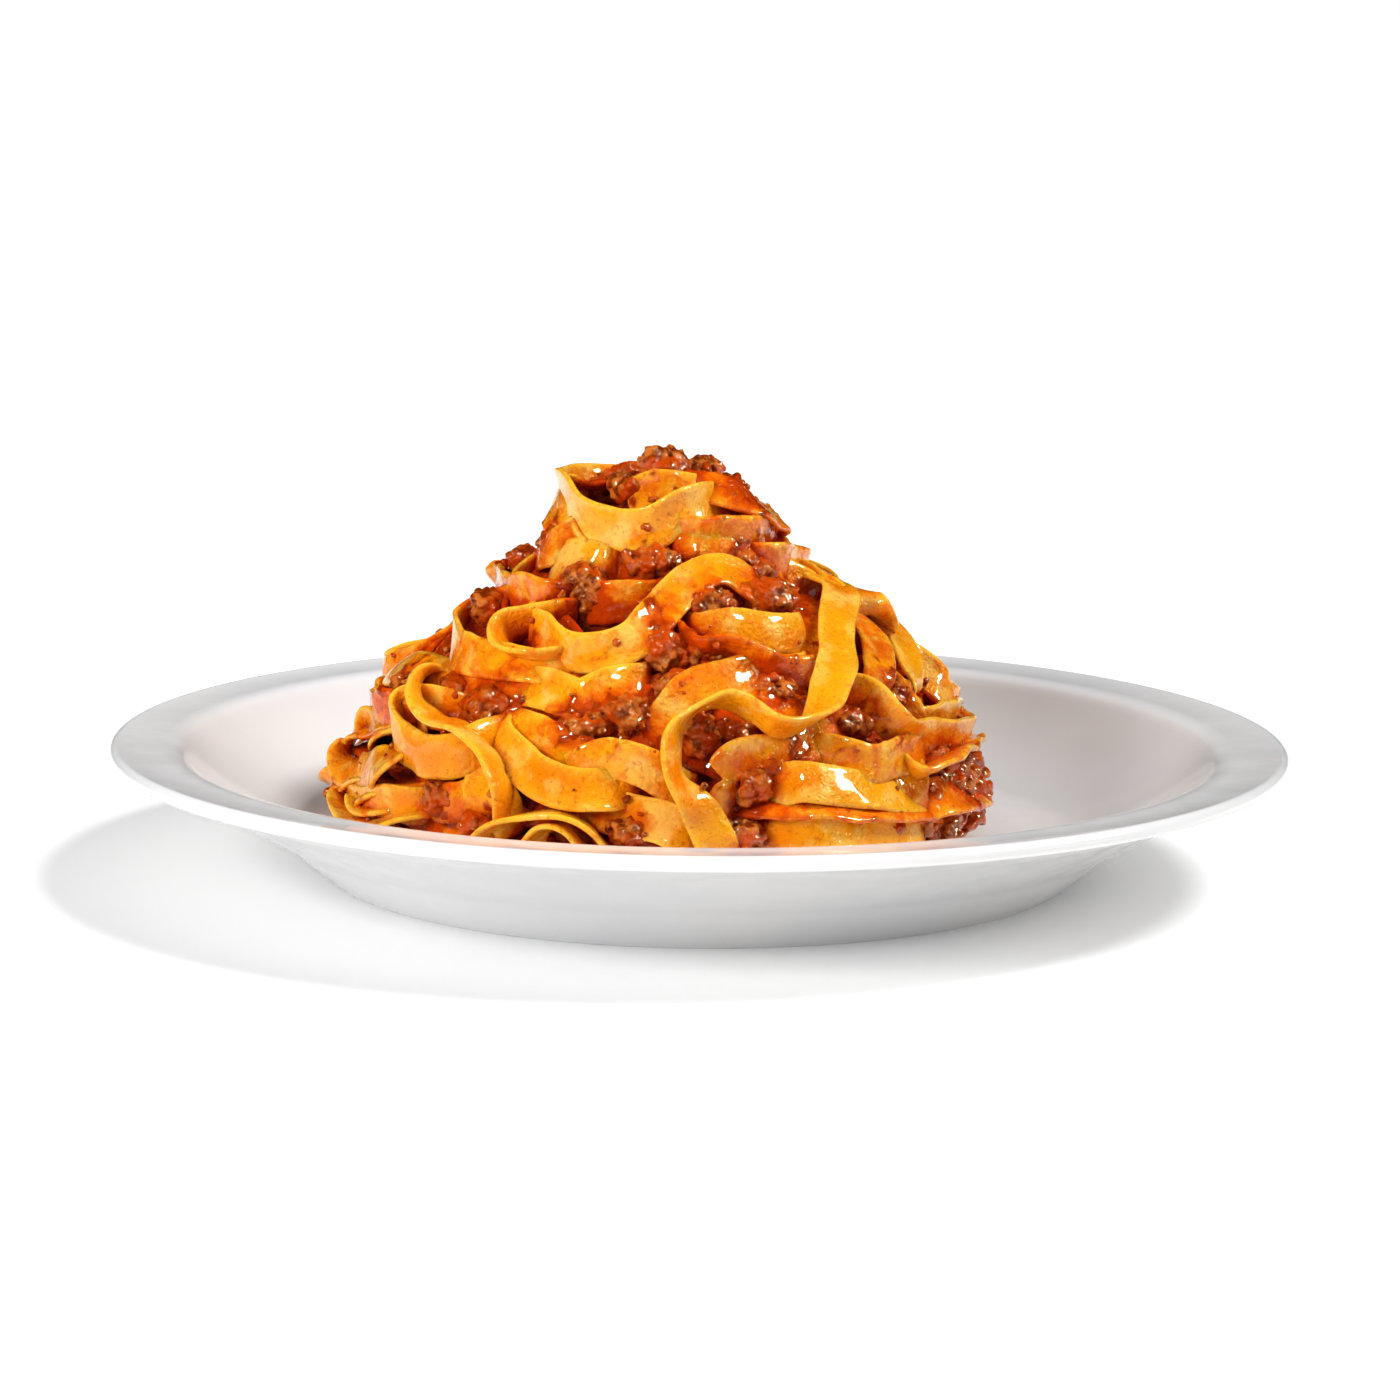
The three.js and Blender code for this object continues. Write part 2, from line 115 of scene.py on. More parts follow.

# Sauce on the noodles, and painted shade on those that lie deep in the heap
SAUCE_DEPTH = 0.75  # the thickest clots stand about this far off the noodle
LEAST_SAUCE = 0.12  # below this share there are no clots
SAUCE_OUTSIDE, SAUCE_SPAN = 1.5, 5  # it starts this far outside the outline and is full after this span
# Deep in the heap this share darkens the noodles as painted shade as well as sauce; near the lumps it is
# sauce
DEPTH_SHADE_AND_SAUCE, SAUCE_NEAR_LUMPS = 0.9, 0.6
SOAKED_SHARES = (-0.05, 0.25)  # added for a whole noodle, where SAUCED doesn't name it
CLOT_SIZE, FINE_CLOT_SIZE, PATCH_SIZE = 2.1, 0.9, 7.5

# name: (standoff, [(turn, lean), ...], [(azimuth, height, own standoff), ...])
# Azimuth 0 faces -Y and 90 faces +X. standoff is how far the noodle's middle line lies outside the
# outline, unless a place on its route has its own. A noodle's broad side stands upright and faces
# outwards: turn tips its width sideways round the heap, lean tips its upper edge outwards, and both
# are spread evenly along the noodle.
CROWN_NOODLES = {
    "crown_loop": (3, [(0, 0), (0, 0), (0, 5), (0, 5), (0, -10), (0, -30)],
                   [(-165, 76, -2), (-120, 77, 1), (-95, 77, 2), (-65, 78), (-47, 75), (-29, 73), (-16, 72),
                    (-3, 73), (10, 76, 2), (28, 77, 0), (63, 76, -3)]),
    "crown_fold": (-3, [(0, -10), (0, -20)],
                   [(-26, 77, -6), (-7, 79, -4), (14, 79), (36, 78, -4), (93, 77, -6)]),
    "crown_cap": (2, [(0, -40), (0, -50), (0, -40)],
                   [(24, 79, -4), (39, 79, 0), (54, 77), (74, 74), (93, 71, 1)]),
    "crown_face": (1, [(0, 25), (0, 10)], [(6, 71, -2), (20, 71, 0), (33, 71), (50, 70), (93, 68, -1)]),
    "crown_left": (1, [(80, 0), (90, 0)], [(-94, 78), (-75, 74), (-56, 70), (-45, 68, -1)]),
    "shoulder_left": (0, [(10, -20), (0, -20)],
                   [(-115, 66, -1), (-65, 66, 1), (-52, 68, 2), (-46, 70)]),
    "curl_left": (0, [(0, 0), (10, 0)], [(-115, 57, -2), (-63, 58), (-55, 59, 1), (-44, 58, -1)]),
    "pale_left": (1, [(-10, -25)], [(-55, 64, 0), (-39, 66), (-26, 65, 0)]),
    "under_crown": (0, [(0, -15)], [(11, 67, -1), (22, 69), (37, 69, 1), (62, 69)]),
    "front_swoop": (5, [(0, -5), (0, -5), (0, -5), (-30, -20), (-40, -35), (-10, -45), (20, -30)],
                   [(-42, 54, -1), (-31, 53, 2), (-23, 51, 4), (-17, 51), (-11, 52), (-6, 54), (-2, 57),
                    (3, 60), (10, 63), (19, 65), (29, 64, 4), (38, 60, 1)]),
    "inner_face": (-1, [(0, -5)], [(-25, 58, -3), (-15, 59), (-4, 59, -3)]),
    "curl_right_top": (1, [(0, 0)], [(48, 65, -1), (55, 65), (71, 64), (100, 60, -1)]),
}
LEFT_NOODLES = {
    "nest_outer": (3, [(0, -5), (0, 0), (0, -35), (0, -55)],
                   [(-62, 56, -4), (-74, 53, -2), (-72, 51, 1), (-61, 49), (-47, 48, 4), (-36, 48, 4),
                    (-27, 48), (-20, 48, 0)]),
    "nest_inner": (3, [(0, 20), (0, 70), (0, 60), (0, 20)],
                   [(-35, 55, -3), (-43, 54, 0), (-45, 53), (-40, 50, 4), (-33, 49, 4), (-26, 48, 1)]),
    "nest_under": (0, [(0, -30), (0, -35)], [(-59, 43, -1), (-44, 42), (-34, 41, 1), (-28, 41, -1)]),
    "mid_bow": (2, [(0, -35)], [(-36, 44, -1), (-25, 44), (-17, 43, 3), (-10, 45), (-4, 45, -1)]),
    "diamond": (2, [(45, -15)], [(-32, 37, -1), (-23, 36), (-18, 34), (-14, 32, 0)]),
    "slope_band": (3, [(25, -10), (10, -20), (0, -50)],
                   [(-33, 35, 0), (-26, 32, 2), (-19, 29, 4), (-13, 28, 4), (-7, 28, 2)]),
    "cup_front": (4, [(0, 0), (10, -10)],
                   [(-15, 30, 0), (-10, 33, 3), (-5, 33, 5), (0, 31), (5, 27, 0)]),
    "loop_front_left": (7, [(90, 34), (90, 32), (90, 40), (90, 62), (90, 92), (90, 105)],
                   [(-60, 44, -2), (-61, 44, 2), (-59, 43, 5), (-52, 40), (-43, 38, 8), (-35, 37, 9),
                    (-30, 34, 8), (-27, 30), (-26, 26, 5), (-26, 20, 1)]),
    "left_return": (4, [(0, -5), (0, 0), (0, 0), (0, -5), (0, -10)],
                   [(-47, 37, -2), (-55, 38, 1), (-60, 37, 3), (-59, 35), (-51, 32, 5), (-42, 31, 6),
                    (-36, 32, 6), (-34, 34, 2)]),
    "top_left_band": (2, [(0, -45)],
                   [(-112, 41, -1), (-88, 40, 1), (-72, 43), (-60, 44), (-53, 43, -1)]),
    "curl_left_mid": (2, [(0, -10), (0, 10)], [(-98, 33, -1), (-76, 33, 1), (-64, 36), (-58, 34, 0)]),
    "outer_left": (-1, [(95, 12), (95, 0), (95, 14)],
                   [(-74, 37, -5), (-88, 35, -3), (-90, 32, -1), (-74, 30), (-67, 32, 0)]),
    "left_loop": (1, [(95, 20), (95, 8), (98, 5), (95, 18), (92, 32)],
                   [(-66, 33, -3), (-77, 31, -2), (-86, 27), (-86, 24, 2), (-76, 22), (-61, 25, 3),
                    (-54, 28, 4), (-53, 30, 1)]),
    "low_left_loop": (3, [(90, 36), (90, 20), (90, 16), (90, 30), (90, 42)],
                   [(-52, 24, -3), (-62, 23, -1), (-74, 20, 1), (-75, 17, 2), (-66, 15), (-55, 16, 4),
                    (-49, 18, 2)]),
    "low_left_fold": (1, [(90, 33), (90, 26), (90, 34)],
                   [(-55, 22, -1), (-59, 21), (-66, 18), (-60, 17, 2), (-55, 18, 0)]),
    "low_left_curl": (4, [(0, 5), (0, 10)], [(-72, 16, 1), (-60, 18, 2), (-53, 20, 2), (-48, 20, 0)]),
    "small_bow_left": (3, [(0, -5)], [(-43, 22, 0), (-36, 23), (-32, 25, 1)]),
    "short_drop": (3, [(75, 0)], [(-32, 30, 0), (-31, 27), (-30, 22, 2)]),
    "base_curl_left": (5, [(0, 75), (0, 85), (0, 75)],
                   [(-32, 15, 0), (-28, 19, 4), (-23, 22, 6), (-16, 23, 6), (-11, 21), (-8, 17, 1)]),
    "base_curl_inner": (5, [(0, 80)], [(-23, 15, 0), (-18, 20, 4), (-15, 21), (-12, 17, 1)]),
    "pale_base": (3, [(10, -15)], [(-11, 24, -1), (-5, 23, 2), (1, 22), (6, 18, 1)]),
}
RIGHT_NOODLES = {
    "short_band": (2, [(0, -15)], [(12, 54, -1), (20, 55), (29, 54, 3), (43, 53, 1)]),
    "wavy_band": (2, [(0, 60), (0, 50), (0, 10), (0, -20)],
                   [(7, 53, -1), (11, 51, 3), (16, 52, 5), (22, 50, 4), (28, 47), (39, 46, 1),
                    (54, 46, -1)]),
    "rising_band": (2, [(-45, -10), (-30, -20), (0, -20)],
                   [(-1, 36, -1), (3, 41), (8, 45, 3), (15, 46, 3), (24, 47), (37, 46, 0)]),
    "hidden_edge": (1, [(0, -45)], [(14, 42, 0), (21, 41, 2), (34, 42, 0)]),
    "beside_s": (0, [(80, 0)], [(57, 56, -2), (43, 51), (38, 45, -1)]),
    "s_top": (2, [(0, -60), (0, -70)], [(84, 60), (76, 58, 6), (74, 55, 6), (84, 51)]),
    "s_ribbon": (9, [(90, 0), (88, 0), (88, 0), (80, 20), (40, 45), (10, 55), (0, 62), (-10, 68),
                    (-60, 62), (-90, 50), (-100, 15), (-105, 0)],
                   [(82, 62, 1), (70, 59, 5), (50, 55, 7), (43, 50, 8), (37, 46), (31, 42, 10),
                    (25, 40, 11), (20, 40, 12), (17, 42, 12), (13, 44, 12), (10, 44, 12), (6, 43, 12),
                    (3, 40, 11), (2, 36, 11), (3, 31), (6, 27, 8), (8, 23, 6), (10, 17, 3)]),
    "loop_under_s": (3, [(20, 5), (0, 0), (0, -20), (0, -45)],
                   [(14, 24, -1), (11, 29), (13, 33, 5), (18, 34, 5), (24, 34, 4), (31, 35, 2),
                    (41, 37, -1)]),
    "fold_right": (4, [(0, -5)], [(30, 33, 0), (33, 33), (39, 31, 6), (48, 31), (59, 30, 0)]),
    "tongue_right": (4, [(0, -10), (8, -25), (0, -50)],
                   [(20, 27, 0), (24, 29), (30, 28, 5), (38, 26, 5), (52, 22, 1)]),
    "low_edge_right": (3, [(0, -70)], [(18, 24, 0), (27, 24, 4), (39, 22, 4), (55, 19, 1)]),
    "base_band_right": (4, [(0, -15)], [(19, 17, 0), (27, 19), (37, 19, 5), (51, 17, 2)]),
    "corner_right": (2, [(85, 0)], [(51, 29, 0), (49, 24, 3), (49, 17)]),
    "drop_right": (3, [(88, 0)], [(70, 55, 1), (64, 50, 4), (54, 44, 4), (52, 40, -1)]),
    "ruffle_right": (2, [(75, 0)], [(92, 55, 1), (86, 50, 4), (76, 44, 3), (72, 39, -1)]),
    "back_bow_right": (1, [(30, -20), (30, -10), (0, 20)],
                   [(80, 47, -1), (86, 43, 2), (86, 38, 3), (92, 33, 2), (104, 31, -1)]),
    "wave_right": (5, [(0, 45), (20, 45), (45, 40), (25, 10), (0, 0)],
                   [(41, 42, -1), (44, 43, 3), (46, 42, 6), (47, 38, 7), (50, 35, 6), (58, 33),
                    (86, 29, 2), (100, 28, -1)]),
    "link_right": (2, [(30, 10)], [(62, 41, -1), (58, 35), (70, 34), (92, 31, 0)]),
    "small_u_right": (4, [(0, 70), (0, 75)],
                   [(49, 29, 0), (50, 27), (55, 28, 5), (65, 29, 3), (92, 26, 0)]),
    "small_low_right": (4, [(0, -60), (0, -40)], [(50, 21, 0), (54, 22), (62, 21), (80, 19, 1)]),
}
# The far side repeats noodles of the near side, seen as in a mirror and carried round the heap:
# (name, azimuth of its mirror image's azimuth 0, millimetres higher)
FAR_COPIES = [
    ("tongue_right", 160, -4), ("base_band_right", 195, 0), ("slope_band", 175, -6), ("wave_right", 210, 0),
    ("rising_band", 200, -2), ("nest_outer", 190, -14), ("mid_bow", 195, -4), ("front_swoop", 165, -3),
    ("under_crown", 250, -4), ("curl_right_top", 208, -6), ("crown_face", 250, -3), ("curl_left", 84, -20),
    ("base_band_right", 262, 1),
    ("left_loop", 165, 0), ("loop_under_s", 185, 2), ("wavy_band", 246, 3), ("cup_front", 225, -8),
    ("loop_front_left", 158, -2), ("base_curl_left", 196, 0), ("fold_right", 246, 2), ("left_return", 190, 0),
    ("short_band", 190, -4), ("pale_left", 168, 4), ("nest_inner", 185, -14), ("low_left_loop", 196, 0),
    ("s_ribbon", 212, -2), ("crown_left", 140, -2), ("hidden_edge", 262, 4), ("pale_base", 236, -4),
]

# Noodles that stand out as redder, or as cleaner, than the rest: the share of sauce added to them
SAUCED = {
    "crown_face": 0.3, "crown_cap": 0.35, "crown_fold": -0.8, "inner_face": 0.1, "under_crown": 0.3,
    "shoulder_left": 0.35, "crown_left": 0.25, "pale_left": -0.15, "front_swoop": 0.05, "crown_loop": -0.4,
    "nest_outer": 0.2, "nest_under": 0.35, "wavy_band": 0.35, "fold_right": 0.25, "corner_right": 0.35,
    "low_edge_right": 0.4, "beside_s": 0.2, "tongue_right": -0.1, "pale_base": -0.15, "short_band": -0.1,
    "s_ribbon": -0.05, "drop_right": 0.3, "cup_front": 0.15, "diamond": 0.1, "slope_band": -0.05,
    "left_return": -0.1, "hidden_edge": 0.3,
}

# (azimuth, height, how far its front stands outside the outline, width, height of the lump)
LUMPS = [
    (2, 83, -3, 12, 9), (-69, 67, 2, 7, 9), (-69, 55, 3, 8, 8), (-31, 60, 2, 13, 12),
    (-4, 66, 4, 13, 7), (-68, 39, 4, 12, 8), (-39, 39, 3, 11, 10), (-6, 40, 4, 10, 9),
    (1, 51, 4, 9, 10), (18, 58, 3, 10, 9), (41, 59, 5, 13, 9), (27, 44, 4, 11, 6), (43, 37, 4, 12, 7),
    (61, 39, 3, 9, 9), (62, 27, 4, 10, 8), (65, 17, 4, 13, 8), (-40, 23, 6, 9, 9), (8, 37, 5, 8, 9),
]
FAR_LUMPS = 8  # spread over the far side
FAR_LUMP_STEP = 3  # each one stands this many levels above the one before, in turn
FAR_LUMP_FRONT = 3
FAR_LUMP_AZIMUTHS = (105, 255)
FAR_LUMP_HEIGHTS = (20, 74)
SOLID_CORE_DEPTH = 4  # the part's own solid core lies this far inside the outline
LEAST_LUMP_DEPTH = 7
LUMP_SUNK = 0.8  # a lump reaches this far into that core
LUMP_SAUCE_SHARE, LUMP_SAUCE_MORE = 0.55, 1  # sauce reaches this share of a lump's width, and a little more

# Mince: craggy crumbs, melted together in their lumps
CRAGGY_BALLS = 14
COARSE_CRAG_SIZE, COARSE_CRAG = 1.3, 0.40
FINE_CRAG_SIZE, FINE_CRAG = 3.1, 0.16
CRUMB_RADII = [0.6, 0.75, 0.9, 1.1, 1.4]
CRUMBS_PER_SQUARE = 1.9  # for each square millimetre that a lump's three reaches span in pairs
CRUMB_SPREAD = (0.66, 0.90)  # they lie at this share of the lump's reach
BACKING = 0.66  # radius of the ball inside, as a share of the lump's least reach
COARSE_MINCE = 1.6  # the mince that has rolled down at the right is coarser
COARSE_BELOW = 30
COARSE_AZIMUTHS = (45, 80)
SKIN_GRAIN = 0.36  # how finely the melted crumbs are meshed
GOLDEN_ANGLE = math.pi * (3 - math.sqrt(5))

# Loose crumbs that cling to the noodles
LOOSE_CRUMB_RADII = [0.35, 0.45, 0.6, 0.6, 0.8, 1.1]
LOOSE_CRUMB_REACH = 4.2  # to either side of the noodle's middle line
LOOSE_CRUMB_CHANCES = (0.03, 0.55)  # at each station: anywhere, and added in full sauce
BARE_END_STATIONS = 4

# Clutches of mince too small to have a solid of their own; the far side has them mirrored
FAR_MIRROR = 184  # azimuth of the mirror image's azimuth 0
SMALL_LUMPS = [
    (-40, 79, -3, 9, 6), (75, 82, -3, 7, 4), (-7, 73, 5, 3, 3), (53, 77, 2, 8, 5), (-51, 41, 3, 6, 6),
    (-82, 15, 4, 6, 8), (-32, 19, 5, 9, 6), (-5, 20, 5, 10, 6), (15, 19, 5, 9, 6), (17, 28, 5, 9, 8),
    (-15, 38, 4, 12, 6), (4, 45, 4, 8, 7), (88, 54, 5, 4, 4), (-54, 28, 5, 5, 4), (52, 17, 5, 7, 6),
    (41, 66, 4, 6, 4), (-35, 45, 3, 6, 5), (43, 18, 5, 6, 5), (-66, 15, 4, 6, 6), (74, 21, 4, 8, 8),
    (55, 21, 5, 6, 6), (76, 14, 4, 8, 6), (70, 26, 4, 9, 8), (84, 17, 5, 9, 8), (66, 23, 6, 7, 7),
    (80, 24, 4, 7, 7), (58, 15, 6, 7, 6), (12, 50, 3, 12, 7),
    (-3, 56, 3, 9, 7), (16, 37, 3, 9, 8), (25, 30, 2, 9, 7), (-58, 15, 4, 8, 6), (47, 63, 3, 8, 6),
]


# ---- Helpers ---------------------------------------------------------------------------------

def seeded_draw(seed):
    """Evenly spread draws from 0 to 1, the same rule as in the part's solids."""
    state = seed
    while True:
        state = (state * 16807) % 2147483647
        yield state / 2147483647


def lerp(start, end, share):
    return start + (end - start) * share


def outline_radius(height):
    levels, radii = zip(*HEAP_OUTLINE)
    return np.interp(height, levels, radii)


def on_heap(azimuth, height, standoff):
    """The place at a height and an azimuth, standoff millimetres outside the outline."""
    angle = math.radians(azimuth)
    radius = float(outline_radius(height)) + standoff
    return Vector((HEAP_X + radius * math.sin(angle), -radius * math.cos(angle), height))


def finished(mesh, name, material):
    """Makes a mesh in metres a smooth piece at the origin, riding on the dish."""
    for polygon in mesh.polygons:
        polygon.use_smooth = True
    piece = bpy.data.objects.new(name, mesh)
    scene.collection.objects.link(piece)
    mesh.materials.append(material)
    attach(piece, "root")
    return piece


def piece_from(bm, name, material):
    """Turns a bmesh in millimetres into a piece."""
    bmesh.ops.scale(bm, vec=(MM, MM, MM), verts=bm.verts)
    mesh = bpy.data.meshes.new(name)
    bm.to_mesh(mesh)
    bm.free()
    return finished(mesh, name, material)


def applied(piece):
    """Makes a piece's modifiers part of its mesh."""
    graph = bpy.context.evaluated_depsgraph_get()
    shaped = bpy.data.meshes.new_from_object(piece.evaluated_get(graph))
    piece.modifiers.clear()
    piece.data = shaped
    return piece


def corner_array(mesh):
    flat = np.empty(3 * len(mesh.vertices), np.float32)
    mesh.vertices.foreach_get("co", flat)
    return flat.reshape(-1, 3).astype(float)


# ---- Materials -------------------------------------------------------------------------------

OILY_TINT = (1.0, 0.82, 0.50, 1)  # the film of red oil warms what the wet food reflects

# Colours as linear red, green and blue
GLAZE_COOL = (0.77, 0.77, 0.78)
GLAZE_WARM = (0.81, 0.805, 0.80)
PASTA_DEEP = (0.84, 0.25, 0.002)
PASTA_YELLOW = (0.90, 0.38, 0.007)
PASTA_PALE = (0.92, 0.56, 0.13)
# painted highlight for the noodles' edges
PASTA_EDGE_HIGHLIGHT = (0.98, 0.56, 0.06)
# oil and sauce stains, also laid on the deep noodles as painted shade
PASTA_OILED_AND_SHADED = (0.76, 0.155, 0.001)
PASTA_REDDENED_AND_SHADED = (0.54, 0.058, 0.001)
PASTA_FLECK = (0.48, 0.085, 0.001)
SAUCE_CLOT = (0.36, 0.040, 0.001)
MEAT_DARK = (0.20, 0.028, 0.001)
MEAT_BROWN = (0.60, 0.19, 0.030)
MEAT_SAUCED = (0.54, 0.070, 0.001)
# the core's sauce colours, kept dark as painted shade between the noodles
SAUCE_DARK_AND_SHADE = (0.24, 0.024, 0.001)
SAUCE_RED = (0.52, 0.090, 0.002)
SAUCE_BROWN_AND_SHADE = (0.20, 0.04, 0.004)


class Shader:
    """A material's node tree, with short ways to add and link nodes."""

    def __init__(self, name):
        self.material = bpy.data.materials.new(name)
        self.material.use_nodes = True
        self.tree = self.material.node_tree
        self.surface = self.tree.nodes["Principled BSDF"]
        self.place = self.add("ShaderNodeTexCoord").outputs["Object"]

    def add(self, kind, **settings):
        node = self.tree.nodes.new(kind)
        for key, value in settings.items():
            setattr(node, key, value)
        return node

    def link(self, source, target):
        self.tree.links.new(source, target)

    def feed(self, socket, value):
        if isinstance(value, bpy.types.NodeSocket):
            self.link(value, socket)
        else:
            socket.default_value = value

    def noise(self, size_mm, detail=2.0, distortion=0.0, offset=0.0):
        """A noise pattern whose patches are about size_mm across."""
        mapping = self.add("ShaderNodeMapping")
        self.link(self.place, mapping.inputs["Vector"])
        mapping.inputs["Location"].default_value = (offset, offset * 0.7, offset * 1.3)
        pattern = self.add("ShaderNodeTexNoise")
        self.link(mapping.outputs["Vector"], pattern.inputs["Vector"])
        pattern.inputs["Scale"].default_value = 1 / (size_mm * MM)
        pattern.inputs["Detail"].default_value = detail
        pattern.inputs["Distortion"].default_value = distortion
        return pattern.outputs["Fac"]

    def attribute(self, name):
        return self.add("ShaderNodeAttribute", attribute_name=name).outputs["Fac"]

    def math(self, operation, a, b):
        node = self.add("ShaderNodeMath", operation=operation)
        self.feed(node.inputs[0], a)
        self.feed(node.inputs[1], b)
        return node.outputs[0]

    def scaled(self, share, value):
        return self.math("MULTIPLY", value, share)

    def total(self, first, *others):
        for value in others:
            first = self.math("ADD", first, value)
        return first

    def between(self, value, low, high, to_low=0.0, to_high=1.0):
        """value, eased from to_low at low to to_high at high."""
        node = self.add("ShaderNodeMapRange", interpolation_type="SMOOTHSTEP")
        self.feed(node.inputs["Value"], value)
        node.inputs["From Min"].default_value = low
        node.inputs["From Max"].default_value = high
        node.inputs["To Min"].default_value = to_low
        node.inputs["To Max"].default_value = to_high
        return node.outputs["Result"]

    def mix(self, share, first, second):
        node = self.add("ShaderNodeMix", data_type="RGBA")
        self.feed(node.inputs["Factor"], share)
        colours = [socket for socket in node.inputs if socket.type == "RGBA"]
        for socket, colour in zip(colours, (first, second)):
            self.feed(socket, (*colour, 1) if isinstance(colour, tuple) else colour)
        return next(socket for socket in node.outputs if socket.type == "RGBA")

    def bump(self, height, strength, depth_mm):
        node = self.add("ShaderNodeBump")
        node.inputs["Strength"].default_value = strength
        node.inputs["Distance"].default_value = depth_mm * MM
        self.link(height, node.inputs["Height"])
        self.link(node.outputs["Normal"], self.surface.inputs["Normal"])

    def set(self, **sockets):
        for name, value in sockets.items():
            self.feed(self.surface.inputs[name.replace("_", " ")], value)


def glazed_white():
    shader = Shader("glazed_white")
    clouding = shader.between(shader.noise(45, detail=3), 0.35, 0.65)
    shader.set(**{
        "Base Color": shader.mix(clouding, GLAZE_COOL, GLAZE_WARM),
        "Roughness": shader.between(shader.noise(9, detail=4), 0.3, 0.7, 0.16, 0.24),
        "Specular IOR Level": 0.5, "Coat Weight": 0.35, "Coat Roughness": 0.06,
    })
    shader.bump(shader.noise(6, detail=3), 0.06, 0.12)
    return shader.material


def egg_pasta():
    """Yellow egg pasta with pale spots and a painted highlight along its edges, stained with oil and sauce
    where it is soaked, and darkened by painted shade where it lies deep in the heap.
    """
    shader = Shader("egg_pasta")
    broad = shader.noise(16, detail=2, offset=3.1)
    fine = shader.noise(3.6, detail=4, distortion=0.6)
    grain = shader.noise(1.3, detail=3, offset=1.9)
    ripple = shader.noise(2.2, detail=2, distortion=1.2, offset=6.1)
    yellow = shader.mix(shader.between(broad, 0.36, 0.62), PASTA_DEEP, PASTA_YELLOW)
    pale = shader.between(shader.noise(8, detail=3, offset=7.7), 0.50, 0.66)
    yellow = shader.mix(shader.scaled(0.75, pale), yellow, PASTA_PALE)
    # painted highlight: each noodle is lighter towards its edges
    yellow = shader.mix(shader.scaled(0.65, shader.attribute("edge_highlight")), yellow, PASTA_EDGE_HIGHLIGHT)
    # the sauce attribute holds painted shade deep in the heap as well as sauce
    sauce = shader.attribute("sauce")
    soaked = shader.total(shader.scaled(0.55, sauce), shader.scaled(0.70, fine), shader.scaled(0.18, grain))
    oiled_and_shaded = shader.between(soaked, 0.45, 0.74)
    reddened_and_shaded = shader.between(soaked, 0.68, 0.90)
    stained = shader.mix(oiled_and_shaded, yellow, PASTA_OILED_AND_SHADED)
    stained = shader.mix(reddened_and_shaded, stained, PASTA_REDDENED_AND_SHADED)
    flecks = shader.between(shader.noise(0.8, detail=2, offset=5.3), 0.60, 0.70)
    stained = shader.mix(shader.scaled(0.45, flecks), stained, PASTA_FLECK)
    clotted = shader.between(shader.attribute("clot"), 0.10, 0.45)
    stained = shader.mix(clotted, stained, SAUCE_CLOT)
    shader.set(**{
        "Base Color": stained,
        "Roughness": shader.between(fine, 0.3, 0.7, 0.18, 0.34),
        "Subsurface Weight": 0.28, "Subsurface Radius": (1.0, 0.35, 0.04), "Subsurface Scale": 0.0016,
        "Specular IOR Level": 0.18, "Specular Tint": OILY_TINT,
        "Coat Weight": 0.70, "Coat Roughness": 0.05,
    })
    relief = shader.total(shader.scaled(0.7, grain), shader.scaled(0.4, oiled_and_shaded), shader.scaled(1.2, ripple))
    shader.bump(relief, 0.6, 0.6)
    return shader.material


def meat_in_sauce():
    shader = Shader("meat_in_sauce")
    grain = shader.noise(2.0, detail=4, distortion=0.4)
    wash = shader.noise(5, detail=2, offset=4.4)
    meat = shader.mix(shader.between(grain, 0.38, 0.62), MEAT_DARK, MEAT_BROWN)
    sauced = shader.mix(shader.between(wash, 0.40, 0.64), meat, MEAT_SAUCED)
    shader.set(**{
        "Base Color": sauced,
        "Roughness": shader.between(grain, 0.3, 0.7, 0.10, 0.26),
        "Subsurface Weight": 0.12, "Subsurface Radius": (1.0, 0.25, 0.04), "Subsurface Scale": 0.001,
        "Specular IOR Level": 0.30, "Specular Tint": OILY_TINT,
        "Coat Weight": 0.90, "Coat Roughness": 0.05,
    })
    shader.bump(shader.noise(0.9, detail=4), 0.7, 0.5)
    return shader.material


def tomato_sauce_and_shade():
    shader = Shader("tomato_sauce_and_shade")
    grain = shader.noise(3.0, detail=4, distortion=0.5)
    wash = shader.noise(9, detail=2, offset=2.2)
    # painted shade: the core is coloured dark so that the gaps read as shadow
    red = shader.mix(shader.between(grain, 0.36, 0.64), SAUCE_DARK_AND_SHADE, SAUCE_RED)
    shader.set(**{
        "Base Color": shader.mix(shader.between(wash, 0.45, 0.70), red, SAUCE_BROWN_AND_SHADE),
        "Roughness": shader.between(grain, 0.3, 0.7, 0.10, 0.26),
        "Subsurface Weight": 0.10, "Subsurface Radius": (1.0, 0.3, 0.04), "Subsurface Scale": 0.0012,
        "Specular IOR Level": 0.45, "Specular Tint": OILY_TINT,
    })
    shader.bump(shader.noise(1.2, detail=4), 0.5, 0.5)
    return shader.material


def pale_floor():
    shader = Shader("pale_floor")
    shader.set(**{
        "Base Color": (0.88, 0.88, 0.88, 1), "Roughness": 0.75, "Specular IOR Level": 0.2,
        "Emission Color": (1, 1, 1, 1), "Emission Strength": 0.10,
    })
    return shader.material


# ---- The dish --------------------------------------------------------------------------------

def arc(centre, radius, start, end, steps):
    """Points on a circle from start to end, in degrees."""
    angles = [math.radians(start + (end - start) * i / steps) for i in range(steps + 1)]
    return [(centre[0] + radius * math.cos(a), centre[1] + radius * math.sin(a)) for a in angles]


def curve(start, control, end, steps):
    """Points on a bend that leaves start and reaches end along the lines to control."""
    points = []
    for i in range(steps + 1):
        t = i / steps
        weights = ((1 - t) ** 2, 2 * t * (1 - t), t * t)
        points.append(tuple(
            weights[0] * a + weights[1] * b + weights[2] * c for a, b, c in zip(start, control, end)
        ))
    return points


